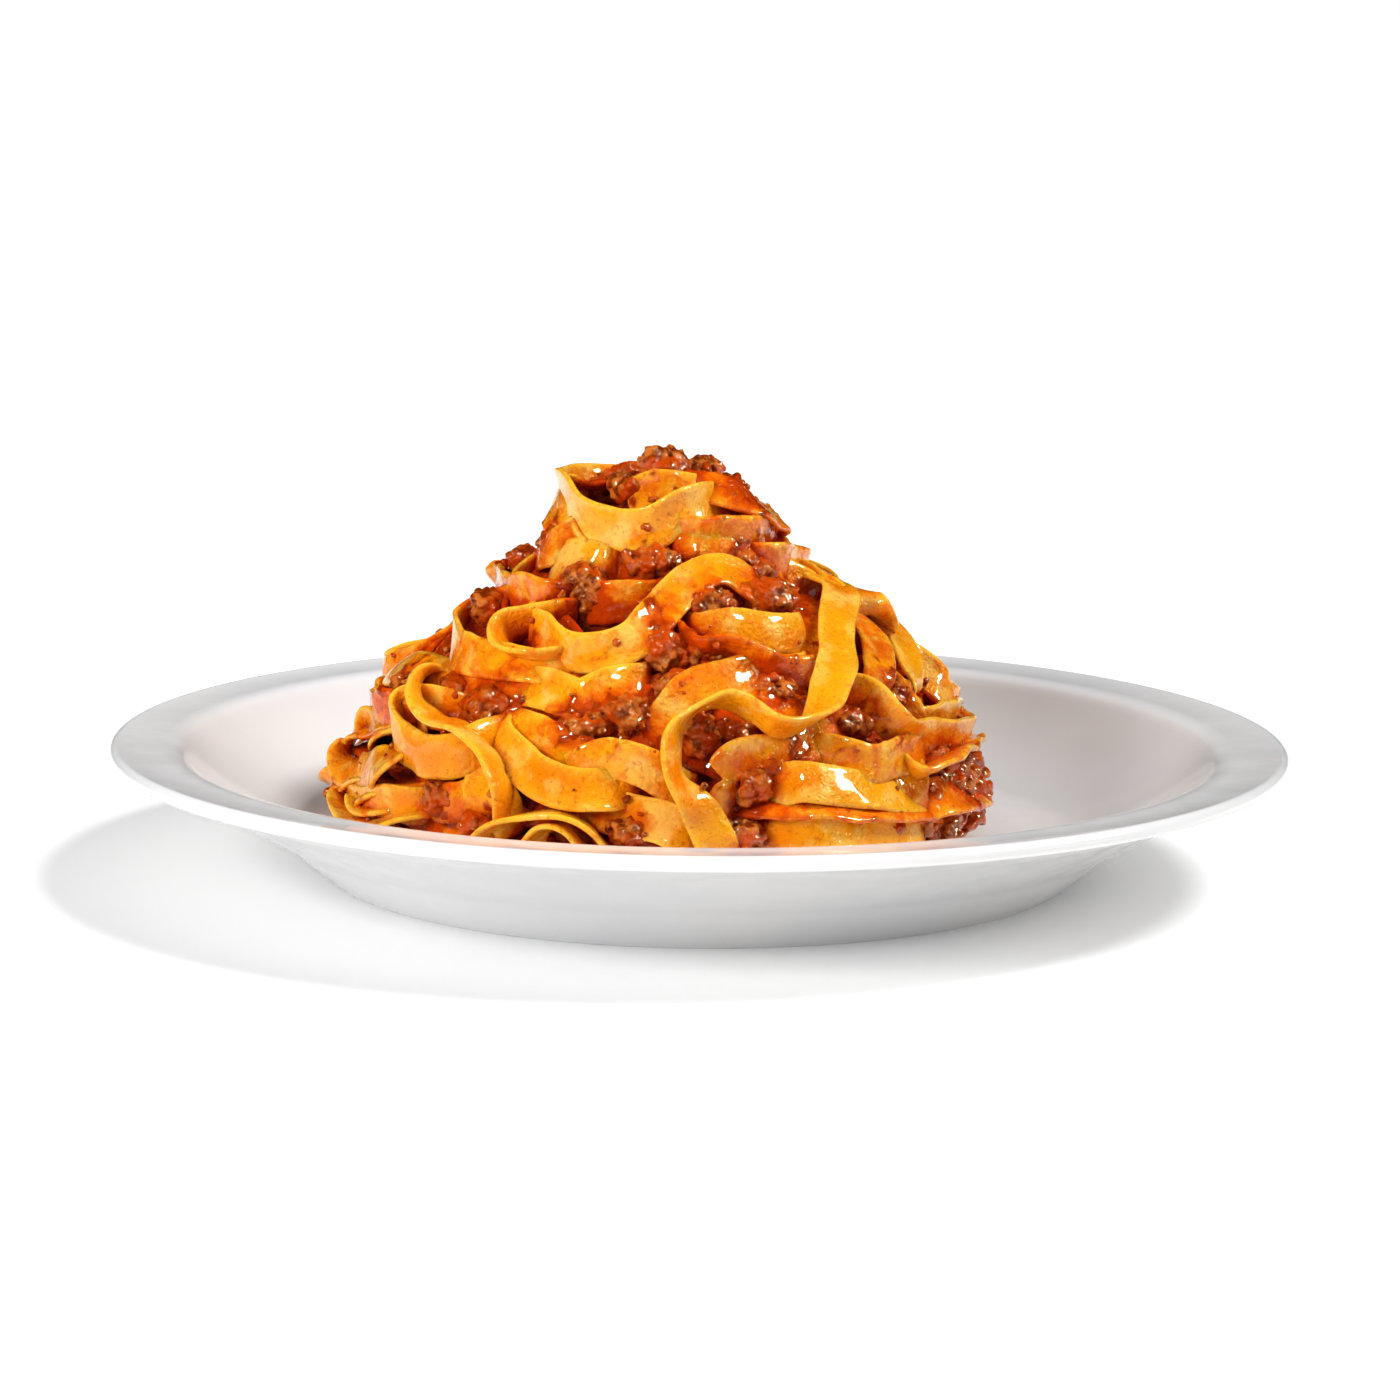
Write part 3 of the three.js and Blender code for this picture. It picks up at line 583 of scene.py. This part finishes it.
def dish_profile():
    """The dish's section as (radius, height), from the middle of its underside round to its top."""
    foot_inside = FOOT_RADIUS - FOOT_WIDTH
    lip_height = FLANGE_TOP - 0.6 * LIP_RADIUS
    foot = arc((foot_inside + FOOT_EDGE, FOOT_EDGE), FOOT_EDGE, 190, 270, 5)
    foot += arc((FOOT_RADIUS - FOOT_EDGE, FOOT_EDGE), FOOT_EDGE, 270, 318, 5)
    shoulder = curve((FOOT_TOP_RADIUS - 1.5, FOOT_TOP - 1.4), (FOOT_TOP_RADIUS, FOOT_TOP),
                     (FOOT_TOP_RADIUS + 2, FOOT_TOP + 1.1), 4)
    lip = arc((DISH_RADIUS - LIP_RADIUS, lip_height), LIP_RADIUS, -75, 110, 14)
    flange = curve((FLANGE_INNER_RADIUS + 5, FLANGE_TOP), (FLANGE_INNER_RADIUS + 0.6, FLANGE_TOP + 0.15),
                   (FLANGE_INNER_RADIUS - 1.2, FLANGE_TOP - 1.4), 6)
    well = curve((FLANGE_INNER_RADIUS, FLANGE_TOP), (WELL_CURVE_RADIUS, WELL_FLOOR),
                 (WELL_FLOOR_RADIUS, WELL_FLOOR), 28)
    below = [point for point in well if point[0] < FLANGE_INNER_RADIUS - 1.4]
    return [
        (0, RECESS), (foot_inside - 3, RECESS), (foot_inside - 0.4, RECESS - 0.3), *foot, *shoulder,
        (FLANGE_INNER_RADIUS, FLANGE_UNDERSIDE), *lip, *flange, *below, (0, WELL_FLOOR),
    ]


def make_dish(material):
    bm = bmesh.new()
    points = [bm.verts.new((radius, 0, height)) for radius, height in dish_profile()]
    edges = [bm.edges.new(pair) for pair in zip(points, points[1:])]
    bmesh.ops.spin(bm, geom=points + edges, cent=(0, 0, 0), axis=(0, 0, 1), dvec=(0, 0, 0),
                   angle=2 * math.pi, steps=DISH_STEPS, use_merge=True, use_duplicate=False)
    bmesh.ops.remove_doubles(bm, verts=bm.verts, dist=1e-4)
    bmesh.ops.recalc_face_normals(bm, faces=bm.faces)
    dish = piece_from(bm, "pasta_dish", material)
    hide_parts("dish")


# ---- Noodles ---------------------------------------------------------------------------------

def tucked_point(end, following):
    """Where a noodle goes past the end of its route, into the heap."""
    reach = max(-TUCK_REACH, min(TUCK_REACH, end[0] - following[0]))
    return (end[0] + 0.5 * reach, end[1] + 0.3 * (end[1] - following[1]), -TUCK_DEPTH)


def spline(points, share):
    """A centripetal Catmull-Rom curve through points, at share 0 to 1 of their count."""
    place = share * (len(points) - 1)
    i = min(int(place), len(points) - 2)
    weight = place - i
    p1, p2 = points[i], points[i + 1]
    p0 = points[i - 1] if i > 0 else 2 * points[0] - points[1]
    p3 = points[i + 2] if i + 2 < len(points) else 2 * points[-1] - points[-2]
    d0, d1, d2 = (max((b - a).length ** 0.5, 1e-4) for a, b in ((p0, p1), (p1, p2), (p2, p3)))
    start = ((p1 - p0) / d0 - (p2 - p0) / (d0 + d1) + (p2 - p1) / d1) * d1
    end = ((p2 - p1) / d1 - (p3 - p1) / (d1 + d2) + (p3 - p2) / d2) * d1
    square = (3 * (p2 - p1) - 2 * start - end) * weight ** 2
    cube = (2 * (p1 - p2) + start + end) * weight ** 3
    return p1 + start * weight + square + cube


def smoothed(rows, passes):
    """Rows averaged with their neighbours, some times over."""
    for _ in range(passes):
        padded = np.vstack([rows[:1], rows, rows[-1:]])
        rows = 0.25 * padded[:-2] + 0.5 * padded[1:-1] + 0.25 * padded[2:]
    return rows


def unit(rows):
    return rows / np.maximum(np.linalg.norm(rows, axis=1, keepdims=True), 1e-9)


def noodle_frames(noodle):
    """Middle line, width direction and face direction of a noodle, every NOODLE_STATION millimetres."""
    standoff, cross, route = noodle
    places = [tucked_point(route[0], route[1]), *route, tucked_point(route[-1], route[-2])]
    points = [on_heap(place[0], place[1], place[2] if len(place) > 2 else standoff) for place in places]
    shares = np.linspace(0, 1, 24 * len(points))
    dense = np.array([spline(points, share) for share in shares])
    reached = np.r_[0, np.cumsum(np.linalg.norm(np.diff(dense, axis=0), axis=1))]
    count = max(6, round(reached[-1] / NOODLE_STATION))
    stations = np.interp(np.linspace(0, reached[-1], count), reached, shares)
    centre = np.array([spline(points, share) for share in stations])
    tangent = unit(np.gradient(centre, axis=0))
    keys = np.array(cross, float)
    at = stations * (len(keys) - 1)
    turn = np.radians(np.interp(at, range(len(keys)), keys[:, 0]))[:, None]
    lean = np.radians(np.interp(at, range(len(keys)), keys[:, 1]))[:, None]
    outwards = unit(np.c_[centre[:, 0] - HEAP_X, centre[:, 1], np.zeros(count)])
    sideways = np.c_[-outwards[:, 1], outwards[:, 0], np.zeros(count)]
    upwards = np.tile([0.0, 0.0, 1.0], (count, 1))
    across = np.cos(lean) * (np.cos(turn) * upwards + np.sin(turn) * sideways) + np.sin(lean) * outwards
    across = smoothed(unit(across - (across * tangent).sum(1, keepdims=True) * tangent), 3)
    across = unit(across - (across * tangent).sum(1, keepdims=True) * tangent)
    return centre, across, np.cross(tangent, across)


def wave(along, depth, length, phase):
    return depth * math.sin(along * 2 * math.pi / length + phase)


def drawn(rng, *ranges):
    return [rng.uniform(*limits) for limits in ranges]


def lay_noodle(bm, noodle, rng, soaked):
    """One noodle as an open strip: its width wavers, its middle is cupped and its edges ruffle."""
    centre, across, face = noodle_frames(noodle)
    last = len(centre) - 1
    width = NOODLE_WIDTH * rng.uniform(*WIDTH_SHARES)
    cup = rng.uniform(*CUP_DEPTHS)
    sway = drawn(rng, SWAY_DEPTHS, SWAY_LENGTHS, PHASES)
    ruffles = [drawn(rng, RUFFLE_DEPTHS, RUFFLE_LENGTHS, PHASES) for _ in range(2)]
    edge_highlight_layer = bm.verts.layers.float.get("edge_highlight") or bm.verts.layers.float.new("edge_highlight")
    soak_layer = bm.verts.layers.float.get("soak") or bm.verts.layers.float.new("soak")
    strip = bmesh.ops.create_grid(bm, x_segments=last, y_segments=NOODLE_FACES, size=0.5)
    for vert in strip["verts"]:
        station = round((vert.co.x + 0.5) * last)
        along = station * NOODLE_STATION
        side = 2 * vert.co.y
        ruffle = ruffles[side > 0]
        phase = ruffle[2]
        waver = 1 + 0.04 * math.sin(along / 6 + phase) + 0.05 * noise.noise(Vector((along / 3, phase, 0)))
        offset = cup * (side * side - 0.4) + wave(along, *ruffle) * side * side + wave(along, *sway)
        sideways = across[station] * (side * width / 2 * waver)
        vert.co = Vector(centre[station] + sideways + face[station] * offset)
        # how much painted highlight each point gets, most at the edges
        vert[edge_highlight_layer] = abs(side) ** 3
        vert[soak_layer] = soaked


def sauce_and_depth_shade(places, lump_places):
    """How saucy each place is, from 0 to 1: more in the depths, where the share is painted shade as well as
    sauce, and near the lumps of meat.
    """
    radius = np.hypot(places[:, 0] - HEAP_X, places[:, 1])
    depth = outline_radius(places[:, 2]) - radius
    sauce = np.clip((depth + SAUCE_OUTSIDE) / SAUCE_SPAN, 0, 1) * DEPTH_SHADE_AND_SAUCE
    for place, reach in lump_places:
        distance = np.linalg.norm(places - np.array(place), axis=1)
        sauce += SAUCE_NEAR_LUMPS * np.exp(-(distance / reach) ** 4)
    return np.clip(sauce, 0, 1)


def point_values(mesh, name):
    values = np.empty(len(mesh.vertices), np.float32)
    mesh.attributes[name].data.foreach_get("value", values)
    return values


def store_values(mesh, name, values):
    mesh.attributes.new(name, "FLOAT", "POINT").data.foreach_set("value", values.astype(np.float32))


def coat_with_sauce(mesh, lump_places):
    """Stores how saucy each point is, painted shade in the depths included, and raises the sauce that clings
    there in small blobs.
    """
    places = corner_array(mesh) / MM
    normals = np.empty(3 * len(mesh.vertices), np.float32)
    mesh.vertex_normals.foreach_get("vector", normals)
    sauce = np.clip(sauce_and_depth_shade(places, lump_places) + point_values(mesh, "soak"), 0, 1)
    raised = np.zeros(len(places))
    for i in np.flatnonzero(sauce > LEAST_SAUCE):
        place = Vector(places[i])
        clot = noise.noise(place / CLOT_SIZE) + 0.5 * noise.noise(place / FINE_CLOT_SIZE)
        patch = noise.noise(place / PATCH_SIZE)
        raised[i] = max(0.0, clot + 0.15) * max(0.0, sauce[i] + 0.9 * patch) * SAUCE_DEPTH
    places += normals.reshape(-1, 3) * raised[:, None]
    mesh.vertices.foreach_set("co", (places * MM).astype(np.float32).ravel())
    # this sauce share includes the painted shade of the depths
    store_values(mesh, "sauce", sauce)
    store_values(mesh, "clot", raised / SAUCE_DEPTH)


def make_noodles(name, noodles, material, lump_places):
    """One piece of many noodles, given a thickness, rounded edges and a coat of sauce."""
    rng = random.Random(f"{SEED} {name}")
    bm = bmesh.new()
    for label, noodle in noodles.items():
        lay_noodle(bm, noodle, rng, SAUCED.get(label, rng.uniform(*SOAKED_SHARES)))
    lowest = WELL_FLOOR + NOODLE_THICKNESS
    for vert in bm.verts:
        vert.co.z = max(vert.co.z, lowest)
    bmesh.ops.recalc_face_normals(bm, faces=bm.faces)
    piece = piece_from(bm, name, material)
    thicken = piece.modifiers.new("thickness", "SOLIDIFY")
    thicken.thickness = NOODLE_THICKNESS * MM
    thicken.offset = 0
    round_off = piece.modifiers.new("rounding", "SUBSURF")
    round_off.levels = round_off.render_levels = 1
    applied(piece)
    coat_with_sauce(piece.data, lump_places)
    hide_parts("tagliatelle_heap")


def numbered(noodles):
    """The noodles of a list, with their numbers for names."""
    return dict(enumerate(noodles))


def mirrored(noodle, azimuth, rise):
    """A noodle's mirror image, with its azimuth 0 carried round to azimuth, and raised."""
    standoff, cross, route = noodle
    turned = [(-turn, lean) for turn, lean in cross]
    return standoff, turned, [(azimuth - own, height + rise, *rest) for own, height, *rest in route]


def far_noodles():
    near = {**CROWN_NOODLES, **LEFT_NOODLES, **RIGHT_NOODLES}
    return {
        f"far_{name}_{azimuth}": mirrored(near[name], azimuth, rise) for name, azimuth, rise in FAR_COPIES
    }


def under_noodles(start, end, seed):
    """Short noodles that fill the depths between the ones that show, from azimuth start to end."""
    rng = random.Random(seed)
    noodles = []
    for height in UNDER_LEVELS:
        radius = float(outline_radius(height))
        pitch = math.degrees(UNDER_PITCH / radius)
        azimuth = start + rng.uniform(0, pitch)
        while azimuth < end:
            length = math.degrees(rng.uniform(*UNDER_LENGTHS) / radius)
            rise = rng.uniform(-UNDER_RISE, UNDER_RISE)
            standoff = rng.uniform(*UNDER_STANDOFFS)
            lean = rng.uniform(*UNDER_LEANS)
            route = []
            for along in (0, 0.33, 0.67, 1):
                level = height + rise * (along - 0.5) + rng.uniform(-UNDER_WAVER, UNDER_WAVER)
                route.append((azimuth + length * along, min(max(level, NOODLE_WIDTH + 3), UNDER_HIGHEST)))
            twisted = lean + rng.uniform(-UNDER_TWIST, UNDER_TWIST)
            noodles.append((standoff, [(0, lean), (0, twisted)], route))
            azimuth += pitch * rng.uniform(0.85, 1.2)
    return noodles


# ---- The sauced core, dark as painted shade in the gaps --------------------------------------

def make_core(material):
    """The middle of the heap, seen only in the gaps: sauce and mince with a pebbly skin, coloured dark to
    stand in as painted shade between the noodles.
    """
    bm = bmesh.new()
    bottom = WELL_FLOOR + 0.5
    levels = [bottom, *range(9, CORE_TOP, 2)]
    points = [bm.verts.new((HEAP_X + float(outline_radius(z)) - CORE_DEPTH, 0, z)) for z in levels]
    points = [bm.verts.new((HEAP_X, 0, bottom)), *points, bm.verts.new((HEAP_X, 0, CORE_TOP))]
    edges = [bm.edges.new(pair) for pair in zip(points, points[1:])]
    bmesh.ops.spin(bm, geom=points + edges, cent=(HEAP_X, 0, 0), axis=(0, 0, 1), dvec=(0, 0, 0),
                   angle=2 * math.pi, steps=CORE_STEPS, use_merge=True, use_duplicate=False)
    bmesh.ops.remove_doubles(bm, verts=bm.verts, dist=1e-4)
    bmesh.ops.recalc_face_normals(bm, faces=bm.faces)
    for vert in bm.verts:
        if vert.co.z < bottom + 0.1:
            continue
        pebble = PEBBLE_HEIGHT * (1 - noise.voronoi(vert.co / PEBBLE_SIZE)[0][0])
        swell = SWELL_HEIGHT * noise.noise(vert.co / SWELL_SIZE)
        outwards = Vector((vert.co.x - HEAP_X, vert.co.y, 0)).normalized() + Vector((0, 0, 0.4))
        vert.co += outwards * (pebble + swell)
    core = piece_from(bm, "sauce_and_shade_core", material)
    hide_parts("tagliatelle_heap")


# ---- Lumps of meat sauce ---------------------------------------------------------------------

def far_lumps():
    draw = seeded_draw(SEED)
    lumps = []
    for i in range(FAR_LUMPS):
        azimuth = lerp(*FAR_LUMP_AZIMUTHS, i / (FAR_LUMPS - 1)) + 6 * next(draw)
        up = ((i * FAR_LUMP_STEP) % FAR_LUMPS) / (FAR_LUMPS - 1)
        height = lerp(*FAR_LUMP_HEIGHTS, up) + 4 * next(draw)
        lumps.append((azimuth, height, FAR_LUMP_FRONT, 9 + 3 * next(draw), 8 + 2 * next(draw)))
    return lumps


def far_small_lumps():
    """The small clutches' mirror images on the far side."""
    return [(FAR_MIRROR - azimuth, *rest) for azimuth, *rest in SMALL_LUMPS]


def lump_place(lump):
    """A lump's middle, and its reach from there sideways, outwards and upwards."""
    azimuth, height, front, width, tall = lump
    depth = max(LEAST_LUMP_DEPTH, front + SOLID_CORE_DEPTH + LUMP_SUNK)
    return on_heap(azimuth, height, front - depth / 2), Vector((width, depth, tall)) / 2


def craggy_balls(subdivisions):
    """A few craggy balls of radius 1, as corners and faces, that the crumbs of mince are copied from."""
    rng = random.Random(f"{SEED} balls {subdivisions}")
    balls = []
    for _ in range(CRAGGY_BALLS):
        bm = bmesh.new()
        bmesh.ops.create_icosphere(bm, subdivisions=subdivisions, radius=1)
        shift = Vector((rng.uniform(0, 90), rng.uniform(0, 90), rng.uniform(0, 90)))
        squash = Vector((rng.uniform(0.75, 1.25), rng.uniform(0.7, 1.1), rng.uniform(0.65, 1.0)))
        for vert in bm.verts:
            coarse = COARSE_CRAG * noise.noise(vert.co * COARSE_CRAG_SIZE + shift)
            fine = FINE_CRAG * noise.noise(vert.co * FINE_CRAG_SIZE + shift)
            vert.co = vert.co * squash * (1 + coarse + fine)
        bm.verts.index_update()
        corners = np.array([vert.co[:] for vert in bm.verts])
        faces = np.array([[vert.index for vert in face.verts] for face in bm.faces])
        bm.free()
        balls.append((corners, faces))
    return balls


def random_turn(rng):
    axis = Vector((rng.gauss(0, 1), rng.gauss(0, 1), rng.gauss(0, 1))).normalized()
    return np.array(Matrix.Rotation(rng.uniform(0, 2 * math.pi), 3, axis))


def piece_of_crumbs(crumbs, balls, rng, name, material):
    """One mesh of many crumbs, each given as (place, radius)."""
    corners, faces, used = [], [], 0
    for place, radius in crumbs:
        ball, sides = rng.choice(balls)
        corners.append(ball @ random_turn(rng).T * radius + np.array(place))
        faces.append(sides + used)
        used += len(ball)
    mesh = bpy.data.meshes.new(name)
    mesh.from_pydata(np.vstack(corners) * MM, [], np.vstack(faces).tolist())
    mesh.update()
    return finished(mesh, name, material)


def lump_crumbs(lump, rng):
    """A clutch of crumbs laid over an ellipsoid, with a ball inside that backs them."""
    azimuth, height, _, _, _ = lump
    in_coarse_part = height < COARSE_BELOW and COARSE_AZIMUTHS[0] < azimuth < COARSE_AZIMUTHS[1]
    coarse = COARSE_MINCE if in_coarse_part else 1
    centre, half = lump_place(lump)
    facing = Matrix.Rotation(math.radians(azimuth), 3, "Z")
    surface = half.x * half.y + half.y * half.z + half.x * half.z
    count = round(CRUMBS_PER_SQUARE * surface / coarse ** 2)
    crumbs = [(centre, BACKING * min(half))]
    for i in range(count):
        level = 1 - (2 * i + 1) / count
        ring = math.sqrt(1 - level * level)
        angle = GOLDEN_ANGLE * i + rng.uniform(-0.5, 0.5)
        radius = min(coarse * rng.choice(CRUMB_RADII) * rng.uniform(0.85, 1.15), 0.5 * min(half))
        spread = Vector((ring * math.cos(angle), ring * math.sin(angle), level)) * rng.uniform(*CRUMB_SPREAD)
        crumbs.append((centre + facing @ (spread * half), radius))
    return crumbs


def fuse(piece, grain_mm):
    """Melts the overlapping crumbs of a piece into one skin of sauce."""
    skin = piece.modifiers.new("skin", "REMESH")
    skin.mode = "VOXEL"
    skin.voxel_size = grain_mm * MM
    skin.use_smooth_shade = True
    return applied(piece)


def make_lumps(material, balls):
    for index, lump in enumerate([*LUMPS, *far_lumps()]):
        rng = random.Random(f"{SEED} lump {index + 1}")
        crumbs = lump_crumbs(lump, rng)
        piece = fuse(piece_of_crumbs(crumbs, balls, rng, f"mince_{index + 1:02d}", material), SKIN_GRAIN)
        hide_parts(f"meat_lump_{index + 1:02d}")


def make_small_lumps(name, lumps, material, balls):
    rng = random.Random(f"{SEED} {name}")
    crumbs = [crumb for lump in lumps for crumb in lump_crumbs(lump, rng)]
    piece = fuse(piece_of_crumbs(crumbs, balls, rng, name, material), SKIN_GRAIN)


def make_crumbs(noodles, material, lump_places):
    """Crumbs of mince that cling to the outer faces of the noodles, most of them near the lumps."""
    rng = random.Random(f"{SEED} crumbs")
    anywhere, in_sauce = LOOSE_CRUMB_CHANCES
    crumbs = []
    for noodle in noodles:
        centre, across, face = noodle_frames(noodle)
        for station in range(BARE_END_STATIONS, len(centre) - BARE_END_STATIONS):
            place = centre[station] + across[station] * rng.uniform(-LOOSE_CRUMB_REACH, LOOSE_CRUMB_REACH)
            share = float(sauce_and_depth_shade(place[None, :], lump_places)[0])
            if rng.random() > anywhere + in_sauce * share ** 2:
                continue
            outwards = np.array([place[0] - HEAP_X, place[1], 0])
            side = 1 if np.dot(face[station], outwards) > 0 else -1
            radius = rng.choice(LOOSE_CRUMB_RADII)
            crumbs.append((place + face[station] * side * (NOODLE_THICKNESS / 2 + 0.1 * radius), radius))
    piece = piece_of_crumbs(crumbs, craggy_balls(1), rng, "mince_crumbs", material)


# ---- Floor, lights and camera ----------------------------------------------------------------

def make_floor():
    bm = bmesh.new()
    bmesh.ops.create_circle(bm, cap_ends=True, segments=96, radius=FLOOR_RADIUS)
    mesh = bpy.data.meshes.new("floor")
    bm.to_mesh(mesh)
    bm.free()
    floor = bpy.data.objects.new("floor", mesh)
    mesh.materials.append(pale_floor())
    scene.collection.objects.link(floor)


WHITE = (1, 1, 1)
WARM_WHITE = (1.0, 0.90, 0.72)
WORLD_STRENGTH = 0.33
SUN_PLACE, SUN_STRENGTH, SUN_SPREAD = Vector((0.48, 0.08, 0.72)), 2.3, math.radians(20)
LAMP_AIM = Vector((0, 0, 0.04))
# Square lamps, in metres and watts: name, place, size, power, and whether wet surfaces only mirror it
SOFTBOXES = [
    ("right_window", (0.62, -0.16, 0.42), 0.14, 5.5, True),
    ("front_window", (0.20, -0.62, 0.55), 0.09, 2.2, True),
    ("left_window", (-0.40, -0.42, 0.62), 0.09, 1.8, True),
    ("fill", (-0.72, -0.70, 0.46), 0.35, 6.6, False),
]


def hang_lamp(light, place, aim, mirrored_as_glints):
    """Hangs a lamp that the object either mirrors as glints or is softly lit by."""
    lamp = bpy.data.objects.new(light.name, light)
    lamp.visible_glossy = mirrored_as_glints
    lamp.visible_diffuse = not mirrored_as_glints
    lamp.location = place
    lamp.rotation_euler = (aim - Vector(place)).to_track_quat("-Z", "Y").to_euler()
    scene.collection.objects.link(lamp)


def add_sun():
    light = bpy.data.lights.new("key", "SUN")
    light.energy = SUN_STRENGTH
    light.angle = SUN_SPREAD
    hang_lamp(light, SUN_PLACE, Vector((0, 0, 0)), False)


def add_softbox(name, place, size, power, glints):
    light = bpy.data.lights.new(name, "AREA")
    light.size = size
    light.energy = power
    light.color = WARM_WHITE if glints else WHITE
    hang_lamp(light, place, LAMP_AIM, glints)


def light_studio():
    world = bpy.data.worlds.new("studio")
    scene.world = world
    world.use_nodes = True
    background = world.node_tree.nodes["Background"]
    background.inputs["Color"].default_value = (1, 1, 1, 1)
    background.inputs["Strength"].default_value = WORLD_STRENGTH
    world.cycles_visibility.glossy = False
    add_sun()
    for softbox in SOFTBOXES:
        add_softbox(*softbox)


def make_camera():
    lens = bpy.data.cameras.new("camera")
    lens.lens = VIEW_LENS
    camera = bpy.data.objects.new("camera", lens)
    back = Vector((0, -math.cos(VIEW_ELEVATION), math.sin(VIEW_ELEVATION)))
    turn = (-back).to_track_quat("-Z", "Y").to_matrix() @ Matrix.Rotation(VIEW_ROLL, 3, "Z")
    camera.matrix_world = Matrix.Translation(VIEW_AIM + back * VIEW_DISTANCE) @ turn.to_4x4()
    scene.collection.objects.link(camera)
    scene.camera = camera


# ---- The whole -------------------------------------------------------------------------------

def build():
    """Makes the scene: the camera and lights, the dish, the noodles and the mince."""
    scene.view_settings.view_transform = "Standard"
    scene.view_settings.look = "Medium High Contrast"
    make_camera()
    light_studio()
    make_floor()
    pasta, meat, sauce = egg_pasta(), meat_in_sauce(), tomato_sauce_and_shade()
    make_dish(glazed_white())
    lumps = [*LUMPS, *far_lumps(), *SMALL_LUMPS, *far_small_lumps()]
    lump_places = [(lump_place(lump)[0], LUMP_SAUCE_SHARE * lump[3] + LUMP_SAUCE_MORE) for lump in lumps]
    outer = {
        "noodles_crown": CROWN_NOODLES,
        "noodles_left": LEFT_NOODLES,
        "noodles_right": RIGHT_NOODLES,
        "noodles_far": far_noodles(),
    }
    under = {
        "noodles_under_near": numbered(under_noodles(-90, 90, UNDER_SEEDS[0])),
        "noodles_under_far": numbered(under_noodles(90, 270, UNDER_SEEDS[1])),
    }
    for name, noodles in {**outer, **under}.items():
        make_noodles(name, noodles, pasta, lump_places)
    make_core(sauce)
    balls = craggy_balls(2)
    make_lumps(meat, balls)
    make_small_lumps("mince_small_near", SMALL_LUMPS, meat, balls)
    make_small_lumps("mince_small_far", far_small_lumps(), meat, balls)
    make_crumbs([noodle for noodles in outer.values() for noodle in noodles.values()], meat, lump_places)


build()
